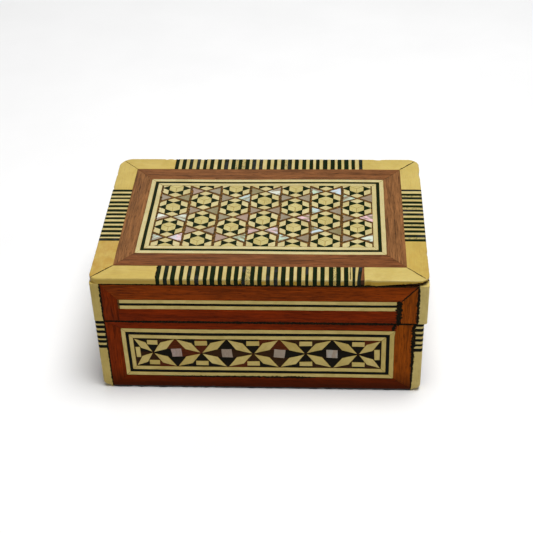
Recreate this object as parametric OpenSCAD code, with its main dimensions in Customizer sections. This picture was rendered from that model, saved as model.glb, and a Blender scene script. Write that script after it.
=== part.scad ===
// Small inlaid wooden box with a hinged lid.
// Origin: centre of the underside. +X right, +Y to the hinged back, +Z up.

/* [Box] */
// Width of the lid, left to right
box_w = 120; // [112:1:140]
// Depth of the lid, front to back
box_d = 80; // [76:1:96]
// Height from the felt underside to the top of the lid
box_h = 52; // [50:1:60]
// Height of the middle of the seam between base and lid
seam_z = 32.4; // [32:0.1:34]
// Open seam between the rim of the base and the rim of the lid
seam_gap = 0.4; // [0.3:0.05:0.6]
// How far the lid stands out over the front and the sides of the base
lid_overhang = 0.5; // [0.5:0.1:0.9]
// How far the base sits to the left of the lid's middle
base_offset = 0.5; // [0:0.1:0.5]

/* [Boards] */
// Thickness of the carcass boards
board_t = 5; // [4.8:0.1:6]
// Thickness of the board in the bottom
bottom_t = 3; // [2.5:0.1:4]
// Thickness of the board under the lid's inlay
lid_board_t = 4; // [3.5:0.1:5]

/* [Inlay] */
// Thickness of the veneer and the inlay
inlay_t = 1.2; // [1:0.1:1.5]
// Saw cut left between two neighbouring pieces
cut = 0.04; // [0.03:0.01:0.06]
// Width of the bone strip on each side of a string
bone_string_w = 1.7; // [1.5:0.1:1.8]
// Width of the black strip in the middle of a string
black_string_w = 1.2; // [1:0.1:1.3]

/* [Lid top] */
// Width of the bone border
border_w = 7.8; // [7:0.1:8.5]
// Thickness of the bone border
border_t = 2.4; // [2:0.1:3]
// Radius of the border's corners
border_r = 3; // [2:0.5:4]
// Distance from one black stripe of the border to the next
stripe_pitch = 2.75; // [2.6:0.05:3]
// Width of a black stripe
stripe_w = 1.2; // [1:0.1:1.4]
// Number of black stripes along the front and the back
long_stripes = 27; // [21:2:27]
// Number of black stripes along each side
short_stripes = 13; // [9:2:13]
// Width of the mahogany frame along the left and right
frame_side_w = 6.9; // [6:0.1:8]
// Width of the mahogany frame along the front and back
frame_front_w = 7.5; // [6:0.1:8]

/* [Mosaic] */
// Number of mosaic strips side by side
strips = 7; // [5:2:9]
// Width of the dark glue line between two strips
glue_w = 0.75; // [0.5:0.05:1]
// Gap between the tips of two stars in one strip
star_gap = 0.6; // [0.4:0.05:1]
// From the back edge of the mosaic to the first star of the odd strips
first_star = 1.8; // [1:0.1:3]
// How far the even strips are shifted
strip_shift = 8.6; // [6:0.1:9]

/* [Base faces] */
// Width of the upright veneer at each end of a face
stile_w = 5.8; // [5:0.1:6.5]
// Width of the veneer along the rim
top_rail_w = 3.4; // [3:0.1:4]
// Width of the veneer along the bottom edge
bottom_rail_w = 5.3; // [4:0.1:5.5]
// Length of the half star at each end of a star band
end_star = 8.2; // [7.5:0.1:9]
// Wanted distance from one star to the next in a band
band_pitch = 18.5; // [17:0.5:20]
// Half the sharp angle of a bone lozenge
lozenge_angle = 20; // [18:1:22]
// Side of the mother-of-pearl squares
pearl_s = 4.3; // [3.5:0.1:4.5]

/* [Corner posts] */
// Width of a bone corner post
post_w = 3.6; // [3.2:0.1:4]
// Height of the striped part of a base post
post_striped_h = 14; // [12:0.5:16]
// Number of black stripes in a base post
post_stripes = 6; // [4:1:6]
// Thickness of a black stripe in a base post
post_stripe_t = 1; // [0.8:0.1:1.2]

/* [Lining] */
// Thickness of the felt under the base
felt_t = 0.8; // [0.6:0.1:1.2]
// Thickness of the velvet on the walls
lining_t = 0.8; // [0.6:0.1:1]
// Thickness of the padded velvet on the floor and in the lid
pad_t = 1.6; // [1.2:0.1:2.5]

/* [Hinges] */
// Length of one hinge
hinge_l = 14; // [12:1:18]
// Distance of each hinge's middle from the middle of the box
hinge_x = 34; // [28:1:38]
// How far the lid opens before its bevel meets the base
open_angle = 100; // [90:1:105]

/* [Hidden] */
$fn = 48;
SIDES = ["front", "back", "left", "right"];

// Base box, a little smaller than the lid and flush with it at the back
base_w = box_w - 2 * lid_overhang;
base_d = box_d - lid_overhang;
base_place = [-base_offset, lid_overhang / 2, 0];
base_z0 = felt_t;
base_z1 = seam_z - seam_gap / 2;
floor_z = base_z0 + bottom_t;

// Lid box
lid_z0 = seam_z + seam_gap / 2;
lid_z1 = box_h - border_t;
platform_z = box_h - inlay_t;
ceiling_z = lid_z1 - lid_board_t;

// Hinges
barrel_r = 1.15;
pin_r = 0.5;
running_gap = 0.04;
fixed_gap = 0.02;
leaf_t = 0.6;
leaf_w = 4.6;
axis_inset = 1.2;
axis_y = box_d / 2 - axis_inset;
groove_r = barrel_r + 0.2;
knuckle_gap = 0.1;
stop_clearance = 1;
bevel_angle = open_angle / 2 + stop_clearance;
nail_head_r = 0.85;
nail_r = 0.4;
nail_l = 4.2;
nail_spacing = 4.4;
nail_y = axis_y - 0.6 * leaf_w;
hinge_places = [-hinge_x, hinge_x];
nail_places = [for (x = hinge_places, i = [-1:1]) x + i * nail_spacing];
knuckle_l = hinge_l / 3;

// Colours
BONE = [0.84, 0.76, 0.5];
BLACK = [0.07, 0.08, 0.06];
MAHOGANY = [0.45, 0.2, 0.12];
CARCASS = [0.76, 0.6, 0.4];
PEARL = [0.78, 0.77, 0.76];
VELVET = [0.5, 0.05, 0.1];
BRASS = [0.8, 0.65, 0.3];
FELT = [0.06, 0.06, 0.06];

// ---- Rectangles, each a pair of corners [[x0, y0], [x1, y1]] ----

function centred(w, h) = [[-w / 2, -h / 2], [w / 2, h / 2]];
function inset(r, t) = [r[0] + [t, t], r[1] - [t, t]];
function size_of(r) = r[1] - r[0];

module rectangle(r) {
    translate(r[0])
        square(size_of(r));
}

// One flat piece, with half a saw cut taken off all round
module piece() {
    offset(delta = -cut / 2)
        children();
}

// Four mitred pieces that fill the space between two rectangles
module mitred_frame(outer, inner) {
    o0 = outer[0];
    o1 = outer[1];
    i0 = inner[0];
    i1 = inner[1];
    piece() polygon([o0, [o1.x, o0.y], [i1.x, i0.y], i0]);
    piece() polygon([[o1.x, o0.y], o1, i1, [i1.x, i0.y]]);
    piece() polygon([o1, [o0.x, o1.y], [i0.x, i1.y], i1]);
    piece() polygon([[o0.x, o1.y], o0, i0, [i0.x, i1.y]]);
}

// Stripes along X, alternating from the first to the last
module stripes(count, pitch, w, h) {
    for (i = [0:count - 1])
        translate([(i - (count - 1) / 2) * pitch - w / 2, 0])
            square([w, h]);
}

// Sheet of the given thickness whose upper face is at z
module sheet(z, t) {
    translate([0, 0, z - t])
        linear_extrude(t)
            children();
}

// ---- Faces: drawn with X along the face and Y up, seen from outside ----

function face_w(side, w, d) = (side == "front" || side == "back") ? w : d;

// Puts a sheet with its outer surface on one side of a w by d box
module on_face(side, w, d, t = inlay_t) {
    turn = side == "front" ? 0 : side == "back" ? 180 : side == "left" ? -90 : 90;
    reach = face_w(side, d, w) / 2;
    rotate([0, 0, turn])
        translate([0, t - reach, 0])
            rotate([90, 0, 0])
                linear_extrude(t)
                    children();
}

module on_base(side) {
    translate(base_place)
        on_face(side, base_w, base_d)
            children();
}

module on_lid(side) {
    on_face(side, box_w, box_d)
        children();
}

// ---- Hinge cuts shared by base and lid ----

// Wedge outside the axis that the back edge loses, so that the lid stops when open
module back_bevel() {
    rise = axis_inset * tan(bevel_angle);
    over = 1.5;
    translate([box_w / 2, axis_y, seam_z])
        rotate([0, -90, 0])
            linear_extrude(box_w)
                polygon([[0, 0], [-rise * over, axis_inset * over], [rise * over, axis_inset * over]]);
}

// Room for the barrels
module barrel_grooves() {
    for (x = hinge_places)
        translate([x - hinge_l / 2 - knuckle_gap, axis_y, seam_z])
            rotate([0, 90, 0])
                cylinder(r = groove_r, h = hinge_l + 2 * knuckle_gap);
}

// Pockets that the leaves are let into, from z0 to z1
module leaf_pockets(z0, z1) {
    for (x = hinge_places)
        translate([x - hinge_l / 2 - knuckle_gap, axis_y - leaf_w - fixed_gap, z0])
            cube([hinge_l + 2 * knuckle_gap, box_d / 2 - axis_y + leaf_w + 1, z1 - z0]);
}

// Pilot holes for the nails, down from z = 0
module nail_holes() {
    for (x = nail_places)
        translate([x, nail_y, -nail_l - fixed_gap])
            cylinder(r = nail_r + fixed_gap, h = nail_l + 1);
}

module base_hinge_cuts() {
    back_bevel();
    barrel_grooves();
    leaf_pockets(base_z1 - leaf_t - fixed_gap, base_z1 + 1);
    translate([0, 0, base_z1])
        nail_holes();
}

module lid_hinge_cuts() {
    back_bevel();
    barrel_grooves();
    leaf_pockets(lid_z0 - 1, lid_z0 + leaf_t + fixed_gap);
    translate([0, 0, lid_z0])
        mirror([0, 0, 1])
            nail_holes();
}

// ---- Carcass ----

// Plan of one board of a w by d carcass, mitred behind the corner posts
module board_plan(w, d) {
    edge = d / 2;
    post = w / 2 - (post_w - inlay_t);
    inner = w / 2 - board_t;
    piece()
        polygon([
            [-post, -edge], [post, -edge],
            [post, post_w - inlay_t - edge], [inner, board_t - edge],
            [-inner, board_t - edge], [-post, post_w - inlay_t - edge]
        ]);
}

module board(side, w, d, z0, z1) {
    turn = side == "front" ? 0 : side == "back" ? 180 : side == "left" ? -90 : 90;
    across = face_w(side, w, d) - 2 * inlay_t;
    deep = face_w(side, d, w) - 2 * inlay_t;
    translate([0, 0, z0])
        rotate([0, 0, turn])
            linear_extrude(z1 - z0)
                board_plan(across, deep);
}

module base_board(side) {
    color(CARCASS)
        difference() {
            translate(base_place)
                board(side, base_w, base_d, base_z0, base_z1);
            if (side == "back")
                base_hinge_cuts();
        }
}

module lid_board(side) {
    color(CARCASS)
        difference() {
            board(side, box_w, box_d, lid_z0, ceiling_z);
            if (side == "back")
                lid_hinge_cuts();
        }
}

module base_bottom_board() {
    room = 2 * (inlay_t + board_t);
    color(CARCASS)
        translate(base_place)
            sheet(floor_z, bottom_t)
                piece() rectangle(centred(base_w - room, base_d - room));
}

// Board with a rebate for the border and notches over the corner posts
module lid_top_board() {
    color(CARCASS) {
        sheet(lid_z1, lid_board_t)
            difference() {
                rectangle(centred(box_w - 2 * inlay_t, box_d - 2 * inlay_t));
                for (x = [-1, 1], y = [-1, 1])
                    translate([x * box_w / 2, y * box_d / 2])
                        square(2 * post_w + cut, center = true);
            }
        sheet(platform_z, platform_z - lid_z1)
            piece() rectangle(inset(centred(box_w, box_d), border_w));
    }
}

// ---- Soft linings ----

module underside_felt() {
    edge = 0.6;
    color(FELT)
        translate(base_place)
            sheet(felt_t, felt_t)
                rectangle(centred(base_w - 2 * edge, base_d - 2 * edge));
}

function cavity(w, d) = centred(w - 2 * (inlay_t + board_t) - cut, d - 2 * (inlay_t + board_t) - cut);

module floor_velvet_pad() {
    color(VELVET)
        translate(base_place)
            sheet(floor_z + pad_t, pad_t)
                rectangle(inset(cavity(base_w, base_d), lining_t + 0.1));
}

module base_wall_lining() {
    room = cavity(base_w, base_d);
    color(VELVET)
        translate(base_place)
            sheet(base_z1 - 0.3, base_z1 - 0.3 - floor_z)
                mitred_frame(room, inset(room, lining_t));
}

module lid_velvet_pad() {
    color(VELVET)
        sheet(ceiling_z, pad_t)
            rectangle(inset(cavity(box_w, box_d), lining_t + 0.1));
}

module lid_wall_lining() {
    room = cavity(box_w, box_d);
    color(VELVET)
        sheet(ceiling_z, ceiling_z - lid_z0 - 0.3)
            mitred_frame(room, inset(room, lining_t));
}

// ---- Corner posts ----

// Square post with a rounded outer edge, at the front left corner
module post_plan() {
    r = 1;
    w = post_w - cut;
    translate([r, 0])
        square([w - r, w]);
    translate([0, r])
        square([w, w - r]);
    translate([r, r])
        circle(r);
}

module at_corners(w, d) {
    for (x = [0, 1], y = [0, 1])
        mirror([x, 0, 0])
            mirror([0, y, 0])
                translate([-w / 2, -d / 2, 0])
                    children();
}

module base_corner_posts() {
    color(BONE)
        translate(base_place)
            at_corners(base_w, base_d)
                sheet(base_z1 - post_striped_h, base_z1 - post_striped_h - base_z0)
                    post_plan();
}

// Slices of the striped part of a post, the first one at the given level of each period
module post_slices(shift, t) {
    period = post_striped_h / post_stripes;
    translate(base_place)
        difference() {
            at_corners(base_w, base_d)
                for (i = [0:post_stripes - 1])
                    sheet(base_z1 - i * period - shift - cut / 2, t - cut)
                        post_plan();
            translate(-base_place)
                back_bevel();
        }
}

module base_post_black_stripes() {
    color(BLACK)
        post_slices(0, post_stripe_t);
}

module base_post_bone_stripes() {
    color(BONE)
        post_slices(post_stripe_t, post_striped_h / post_stripes - post_stripe_t);
}

module lid_corner_posts() {
    color(BONE)
        difference() {
            at_corners(box_w, box_d)
                sheet(lid_z1 - cut / 2, lid_z1 - lid_z0 - cut / 2)
                    post_plan();
            back_bevel();
        }
}

// ---- Faces of the base ----

function base_face(side) =
    let (half = face_w(side, base_w, base_d) / 2 - post_w)
    [[-half, base_z0], [half, base_z1]];
function string_outer(side) =
    let (face = base_face(side))
    [face[0] + [stile_w, bottom_rail_w], face[1] - [stile_w, top_rail_w]];
function black_outer(side) = inset(string_outer(side), bone_string_w);
function black_inner(side) = inset(black_outer(side), black_string_w);
function star_band(side) = inset(black_inner(side), bone_string_w);

module base_veneer(side) {
    color(MAHOGANY)
        difference() {
            on_base(side)
                mitred_frame(base_face(side), string_outer(side));
            if (side == "back")
                base_hinge_cuts();
        }
}

module base_bone_strings() {
    color(BONE)
        for (side = SIDES)
            on_base(side) {
                mitred_frame(string_outer(side), black_outer(side));
                mitred_frame(black_inner(side), star_band(side));
            }
}

module base_black_strings() {
    color(BLACK)
        for (side = SIDES)
            on_base(side)
                mitred_frame(black_outer(side), black_inner(side));
}

// ---- Star bands on the base ----

function band_half(side) = size_of(star_band(side)) / 2;
function band_middle(side) = (star_band(side)[0] + star_band(side)[1]) / 2;
function star_reach(side) = band_half(side).x - end_star;
function star_steps(side) = round(2 * star_reach(side) / band_pitch);
function star_step(side) = 2 * star_reach(side) / star_steps(side);
function star_xs(side) = [for (i = [0:star_steps(side)]) i * star_step(side) - star_reach(side)];
function pearl_xs(side) = [for (i = [0.5:star_steps(side)]) i * star_step(side) - star_reach(side)];

// Bone lozenge from near the star's centre to near the given point
module lozenge(tip) {
    gap = 0.35;
    long = norm(tip) - 2 * gap;
    half = long / 2;
    rise = half * tan(lozenge_angle);
    rotate(atan2(tip.y, tip.x))
        translate([gap, 0])
            polygon([[0, 0], [half, -rise], [long, 0], [half, rise]]);
}

// The four lozenges and the two small bars of one star
module star(left, right, half_h) {
    bar = [4.6, 2.2];
    bar_gap = 0.8;
    for (x = [-left, right], y = [-half_h, half_h])
        lozenge([x, y]);
    for (y = [-1, 1])
        translate([0, y * (half_h - bar_gap - bar.y / 2)])
            square(bar, center = true);
}

module star_bone_plan(side) {
    half = band_half(side);
    xs = star_xs(side);
    last = len(xs) - 1;
    end_bar = [2, 5];
    translate(band_middle(side)) {
        for (i = [0:last])
            translate([xs[i], 0])
                star(
                    i == 0 ? end_star : star_step(side) / 2,
                    i == last ? end_star : star_step(side) / 2,
                    half.y
                );
        for (x = [-1, 1])
            translate([x * (half.x - 0.5 - end_bar.x / 2), 0])
                square(end_bar, center = true);
    }
}

module star_pearl_plan(side) {
    translate(band_middle(side))
        for (x = pearl_xs(side))
            translate([x, 0])
                square(pearl_s, center = true);
}

module base_star_bone(side) {
    color(BONE)
        on_base(side)
            piece() star_bone_plan(side);
}

module base_star_pearl(side) {
    color(PEARL)
        on_base(side)
            piece() star_pearl_plan(side);
}

module base_star_ground(side) {
    color(BLACK)
        on_base(side)
            difference() {
                piece() rectangle(star_band(side));
                star_bone_plan(side);
                star_pearl_plan(side);
            }
}

// ---- Faces of the lid ----

// The strips are a little narrower than on the base, and run below a rail of this width
lid_rail_w = 7;
lid_black_w = black_string_w - 0.2;
lid_bone_w = bone_string_w - 0.1;
lid_string_w = 2 * lid_bone_w + lid_black_w;

function lid_face(side) =
    let (half = face_w(side, box_w, box_d) / 2 - post_w)
    [[-half, lid_z0], [half, lid_z1 - cut / 2]];

// The bar that the three strips of the lid's string fill
function lid_string(side) =
    let (half = lid_face(side)[1].x - stile_w)
    [[-half, lid_z1 - lid_rail_w - lid_string_w], [half, lid_z1 - lid_rail_w]];

// Upright ends mitred to the upper rail, and a lower rail between them
module lid_veneer_plan(side) {
    face = lid_face(side);
    bar = lid_string(side);
    for (x = [-1, 1])
        piece()
            polygon([
                [x * face[1].x, face[0].y], [x * face[1].x, face[1].y],
                [x * bar[1].x, bar[1].y], [x * bar[1].x, face[0].y]
            ]);
    piece()
        polygon([bar[1], face[1], [face[0].x, face[1].y], [bar[0].x, bar[1].y]]);
    piece()
        rectangle([[bar[0].x, face[0].y], [bar[1].x, bar[0].y]]);
}

module lid_veneer(side) {
    color(MAHOGANY)
        difference() {
            on_lid(side)
                lid_veneer_plan(side);
            if (side == "back")
                lid_hinge_cuts();
        }
}

// Strips of a lid string between two heights measured up from its lower edge
module lid_strip(side, from, to) {
    bar = lid_string(side);
    on_lid(side)
        piece() rectangle([[bar[0].x, bar[0].y + from], [bar[1].x, bar[0].y + to]]);
}

module lid_side_bone_strings() {
    color(BONE)
        for (side = SIDES) {
            lid_strip(side, 0, lid_bone_w);
            lid_strip(side, lid_bone_w + lid_black_w, lid_string_w);
        }
}

module lid_side_black_string() {
    color(BLACK)
        for (side = SIDES)
            lid_strip(side, lid_bone_w, lid_bone_w + lid_black_w);
}

// ---- Border of the lid ----

lid_outline = centred(box_w, box_d);
frame_outer = inset(lid_outline, border_w);

// Length of the striped stretch, which starts and ends with a black stripe
function striped(count) = (count - 1) * stripe_pitch + stripe_w;

// Outline of the lid, with round corners
module rounded_outline() {
    translate([border_r - box_w / 2, -box_d / 2])
        square([box_w - 2 * border_r, box_d]);
    translate([-box_w / 2, border_r - box_d / 2])
        square([box_w, box_d - 2 * border_r]);
    for (x = [-1, 1], y = [-1, 1])
        translate([x * (box_w / 2 - border_r), y * (box_d / 2 - border_r)])
            circle(border_r);
}

// The two plain pieces of the front left corner, mitred to each other
module corner_pieces() {
    o = lid_outline[0];
    i = frame_outer[0];
    x1 = -striped(long_stripes) / 2;
    y1 = -striped(short_stripes) / 2;
    intersection() {
        rounded_outline();
        union() {
            piece() polygon([o, [x1, o.y], [x1, i.y], i]);
            piece() polygon([o, i, [i.x, y1], [o.x, y1]]);
        }
    }
}

module border_bone_corners() {
    color(BONE)
        for (x = [0, 1], y = [0, 1])
            mirror([x, 0, 0])
                mirror([0, y, 0])
                    sheet(box_h, border_t)
                        corner_pieces();
}

// Border stripes on all four sides
module border_stripes(fewer, w) {
    for (y = [0, 1])
        mirror([0, y, 0])
            translate([0, -box_d / 2, 0])
                sheet(box_h, border_t)
                    piece() stripes(long_stripes - fewer, stripe_pitch, w, border_w);
    for (x = [0, 1])
        mirror([x, 0, 0])
            translate([-box_w / 2, 0, 0])
                sheet(box_h, border_t)
                    rotate(-90)
                        piece() stripes(short_stripes - fewer, stripe_pitch, w, border_w);
}

module border_black_stripes() {
    color(BLACK)
        border_stripes(0, stripe_w);
}

module border_bone_stripes() {
    color(BONE)
        border_stripes(1, stripe_pitch - stripe_w);
}

// ---- Inside of the border ----

top_string_outer = [
    frame_outer[0] + [frame_side_w, frame_front_w],
    frame_outer[1] - [frame_side_w, frame_front_w]
];
top_black_outer = inset(top_string_outer, bone_string_w);
top_black_inner = inset(top_black_outer, black_string_w);
field = inset(top_black_inner, bone_string_w);

module lid_top_veneer() {
    color(MAHOGANY)
        sheet(box_h, inlay_t)
            mitred_frame(frame_outer, top_string_outer);
}

module lid_bone_strings() {
    color(BONE)
        sheet(box_h, inlay_t) {
            mitred_frame(top_string_outer, top_black_outer);
            mitred_frame(top_black_inner, field);
        }
}

module lid_black_string() {
    color(BLACK)
        sheet(box_h, inlay_t)
            mitred_frame(top_black_outer, top_black_inner);
}

// ---- Mosaic ----

strip_pitch = size_of(field).x / strips;
// Side of the bone hexagon in the middle of a star, which is 2 sqrt(3) of them wide
hexagon_s = (strip_pitch - glue_w) / (2 * sqrt(3));
star_pitch = 4 * hexagon_s + star_gap;
star_rows = ceil(size_of(field).y / star_pitch) + 1;
star_places = [
    for (i = [0:strips - 1], j = [-1:star_rows])
        [
            field[0].x + (i + 0.5) * strip_pitch,
            field[1].y - first_star - j * star_pitch - (i % 2) * strip_shift
        ]
];

function polar(r, a) = [r * cos(a), r * sin(a)];

// Pieces drawn at every star and cut off at the edges of the field
module mosaic_sheet() {
    sheet(box_h, inlay_t)
        intersection() {
            piece() rectangle(field);
            for (place = star_places)
                translate(place)
                    children();
        }
}

// One third of the middle hexagon
module hexagon_third(a) {
    s = hexagon_s;
    piece() polygon([[0, 0], polar(s, a), polar(s, a + 60), polar(s, a + 120)]);
}

// Black point on the flat of the hexagon that faces the angle a
module star_triangle(a) {
    s = hexagon_s;
    piece() polygon([polar(s, a - 30), polar(sqrt(3) * s, a), polar(s, a + 30)]);
}

// Bone lozenge between two points, outside the corner at the angle a
module star_lozenge(a) {
    s = hexagon_s;
    piece() polygon([polar(s, a), polar(sqrt(3) * s, a - 30), polar(2 * s, a), polar(sqrt(3) * s, a + 30)]);
}

// Pearl triangle between a star and the one in front of it, x = -1 left or 1 right
module pearl_triangle(x) {
    edge = sqrt(3) * hexagon_s;
    half = 0.68 * hexagon_s;
    reach = 0.75 * edge;
    translate([0, -star_pitch / 2])
        piece() polygon([[x * edge, -half], [x * edge, half], [x * (edge - reach), 0]]);
}

module mosaic_hexagons() {
    color(BONE)
        mosaic_sheet()
            for (a = [30, 150, 270])
                hexagon_third(a);
}

module mosaic_triangles() {
    color(BLACK)
        mosaic_sheet()
            for (a = [0:60:300])
                star_triangle(a);
}

module mosaic_lozenges() {
    color(BONE)
        mosaic_sheet()
            for (a = [30:60:330])
                star_lozenge(a);
}

module mosaic_pearl() {
    color(PEARL)
        mosaic_sheet()
            for (x = [-1, 1])
                pearl_triangle(x);
}

// Glue and dark wood between the stars and the pearl
module mosaic_ground() {
    color(MAHOGANY)
        sheet(box_h, inlay_t)
            difference() {
                piece() rectangle(field);
                for (place = star_places)
                    translate(place) {
                        rotate(30)
                            circle(2 * hexagon_s, $fn = 6);
                        for (x = [-1, 1])
                            offset(delta = cut / 2)
                                pearl_triangle(x);
                    }
            }
}

// ---- Hinges ----

// Knuckles of one leaf: the base has the outer two, the lid the middle one
module knuckles(places, gap) {
    for (x = hinge_places, i = places)
        translate([x + i * knuckle_l - knuckle_l / 2 + knuckle_gap / 2, axis_y, seam_z])
            rotate([0, 90, 0])
                difference() {
                    cylinder(r = barrel_r, h = knuckle_l - knuckle_gap);
                    translate([0, 0, -1])
                        cylinder(r = pin_r + gap, h = knuckle_l + 2);
                }
}

// Flat plates, with tongues that reach the knuckles
module leaf_plates(places, z0) {
    clear = groove_r + 0.05;
    for (x = hinge_places) {
        translate([x - hinge_l / 2, axis_y - leaf_w, z0])
            cube([hinge_l, leaf_w - clear, leaf_t]);
        for (i = places)
            translate([x + i * knuckle_l - knuckle_l / 2 + knuckle_gap / 2, axis_y - clear - 0.5, z0])
                cube([knuckle_l - knuckle_gap, clear - pin_r, leaf_t]);
    }
}

// Countersunk nail, head at z = 0
module nail(gap = 0) {
    rotate_extrude()
        polygon([
            [0, 0], [nail_head_r + gap, 0], [nail_r + gap, nail_r - nail_head_r],
            [nail_r + gap, 0.5 - nail_l], [0, -nail_l]
        ]);
}

module base_nails(gap = 0) {
    for (x = nail_places)
        translate([x, nail_y, base_z1])
            nail(gap);
}

module lid_nails(gap = 0) {
    for (x = nail_places)
        translate([x, nail_y, lid_z0])
            mirror([0, 0, 1])
                nail(gap);
}

module base_hinge_leaves() {
    color(BRASS)
        difference() {
            union() {
                knuckles([-1, 1], fixed_gap);
                leaf_plates([-1, 1], base_z1 - leaf_t);
            }
            base_nails(fixed_gap);
        }
}

module lid_hinge_leaves() {
    color(BRASS)
        difference() {
            union() {
                knuckles([0], running_gap);
                leaf_plates([0], lid_z0);
            }
            lid_nails(fixed_gap);
        }
}

module base_hinge_nails() {
    color(BRASS)
        base_nails();
}

module lid_hinge_nails() {
    color(BRASS)
        lid_nails();
}

module hinge_pins() {
    color(BRASS)
        for (x = hinge_places)
            translate([x - hinge_l / 2, axis_y, seam_z])
                rotate([0, 90, 0])
                    cylinder(r = pin_r, h = hinge_l);
}

// ---- Nodes ----

for (side = SIDES) {
    base_board(side);
    base_veneer(side);
    base_star_ground(side);
    base_star_bone(side);
    base_star_pearl(side);
    lid_board(side);
    lid_veneer(side);
}
base_bottom_board();
underside_felt();
floor_velvet_pad();
base_wall_lining();
base_corner_posts();
base_post_bone_stripes();
base_post_black_stripes();
base_bone_strings();
base_black_strings();
base_hinge_leaves();
base_hinge_nails();
hinge_pins();
lid_hinge_leaves();
lid_hinge_nails();
lid_top_board();
lid_velvet_pad();
lid_wall_lining();
lid_corner_posts();
border_bone_corners();
border_bone_stripes();
border_black_stripes();
lid_top_veneer();
lid_bone_strings();
lid_black_string();
mosaic_ground();
mosaic_hexagons();
mosaic_triangles();
mosaic_lozenges();
mosaic_pearl();
lid_side_bone_strings();
lid_side_black_string();
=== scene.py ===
"""Looks of a small inlaid wooden box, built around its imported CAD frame.

The inlay is cut again from the outlines of the CAD solids, as a craftsman would lay it: every
piece gets worn edges, a height and a tone of its own, and all of them follow one gentle drift,
so that neighbours still fit. Lengths are in metres, and MM turns millimetres into them.
"""

import math
import random

import bmesh
import bpy
from mathutils import Matrix, Vector, noise


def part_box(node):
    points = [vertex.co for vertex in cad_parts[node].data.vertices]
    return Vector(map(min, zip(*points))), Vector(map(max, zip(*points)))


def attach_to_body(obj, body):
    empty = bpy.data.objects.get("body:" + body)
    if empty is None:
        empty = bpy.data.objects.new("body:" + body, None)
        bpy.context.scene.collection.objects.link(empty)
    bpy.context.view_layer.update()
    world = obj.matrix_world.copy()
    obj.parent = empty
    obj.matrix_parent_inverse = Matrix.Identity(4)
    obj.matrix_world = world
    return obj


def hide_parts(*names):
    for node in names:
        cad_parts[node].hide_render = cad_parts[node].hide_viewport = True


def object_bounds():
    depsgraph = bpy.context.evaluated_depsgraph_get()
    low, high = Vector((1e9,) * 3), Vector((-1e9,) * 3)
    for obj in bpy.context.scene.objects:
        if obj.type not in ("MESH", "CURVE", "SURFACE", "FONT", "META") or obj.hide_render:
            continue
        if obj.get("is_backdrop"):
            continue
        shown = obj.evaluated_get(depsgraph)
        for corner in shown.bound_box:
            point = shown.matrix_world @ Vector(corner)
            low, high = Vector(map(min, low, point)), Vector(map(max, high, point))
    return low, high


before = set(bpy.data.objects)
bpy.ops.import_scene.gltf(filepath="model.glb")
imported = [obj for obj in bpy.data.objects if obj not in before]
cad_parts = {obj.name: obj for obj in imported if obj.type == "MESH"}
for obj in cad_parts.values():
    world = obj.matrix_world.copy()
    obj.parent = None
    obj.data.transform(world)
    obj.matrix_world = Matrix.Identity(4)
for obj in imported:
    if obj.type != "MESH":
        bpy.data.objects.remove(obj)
cad_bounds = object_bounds()

# Without a seed, noise_vector starts from the clock and differs from run to run.
noise.seed_set(1)

MM = 0.001
SIDES = ("front", "back", "left", "right")
OUTWARD = {
    "front": Vector((0, -1, 0)),
    "back": Vector((0, 1, 0)),
    "left": Vector((-1, 0, 0)),
    "right": Vector((1, 0, 0)),
}
UP = Vector((0, 0, 1))
BACKWARD = Vector((0, 1, 0))


def within(value, low=0, high=1):
    return min(high, max(low, value))


def edges_of(points):
    """Each point of an outline, with the next one."""
    return zip(points, points[1:] + points[:1])


def rectangle(x0, y0, x1, y1):
    return [Vector(c) for c in ((x0, y0), (x1, y0), (x1, y1), (x0, y1))]


def thickness_of(node):
    low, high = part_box(node)
    return high.z - low.z


# ---- Panels: the flat faces that the inlay lies in ----

# The radius of a panel's corners, the rounding of its edge and the depth of the chips in it.
CORNER = 0
EDGE_ROUND = 0.22 * MM
WEAR = 0.6 * MM
TOP_CORNER = 3 * MM
TOP_EDGE_ROUND = 0.35 * MM
TOP_WEAR = 1.3 * MM


class Panel:
    """A face of the box, with x to the right and y up as seen from outside."""

    def __init__(self, node, out, up, seed, field=None):
        self.out = out
        self.up = up
        self.right = up.cross(out)
        self.seed = seed
        self.x0, self.y0, self.x1, self.y1 = self.extent(node)
        self.field = self.extent(field) if field else None
        self.level = max(c.dot(out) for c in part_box(node))
        self.corner = CORNER
        self.edge_round = EDGE_ROUND
        self.wear = WEAR
        self.outline_dirt = 1

    def extent(self, node):
        xs = [c.dot(self.right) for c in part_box(node)]
        ys = [c.dot(self.up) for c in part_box(node)]
        return min(xs), min(ys), max(xs), max(ys)

    def flat(self, point):
        return Vector((point.dot(self.right), point.dot(self.up)))

    def place(self, flat, level):
        return self.right * flat.x + self.up * flat.y + self.out * level

    def room(self, flat):
        """Distance to the nearest edge of the panel."""
        return depth_inside(flat, (self.x0, self.y0, self.x1, self.y1))

    def room_in_field(self, flat):
        """Distance to the nearest edge of the mosaic or the star band."""
        return depth_inside(flat, self.field) if self.field else 0


def depth_inside(flat, extent):
    x0, y0, x1, y1 = extent
    return min(flat.x - x0, x1 - flat.x, flat.y - y0, y1 - flat.y)


TOP = Panel("border_bone_corners", UP, BACKWARD, 1, "mosaic_ground")
BASE = {
    s: Panel(f"base_{s}_veneer", OUTWARD[s], UP, 10 + i, f"base_{s}_star_ground")
    for i, s in enumerate(SIDES)
}
LID = {s: Panel(f"lid_{s}_veneer", OUTWARD[s], UP, 20 + i) for i, s in enumerate(SIDES)}

TOP.corner = TOP_CORNER
TOP.edge_round = TOP_EDGE_ROUND
TOP.wear = TOP_WEAR
TOP.outline_dirt = 0

border_w = TOP.x1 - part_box("lid_top_veneer")[1].x

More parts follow.
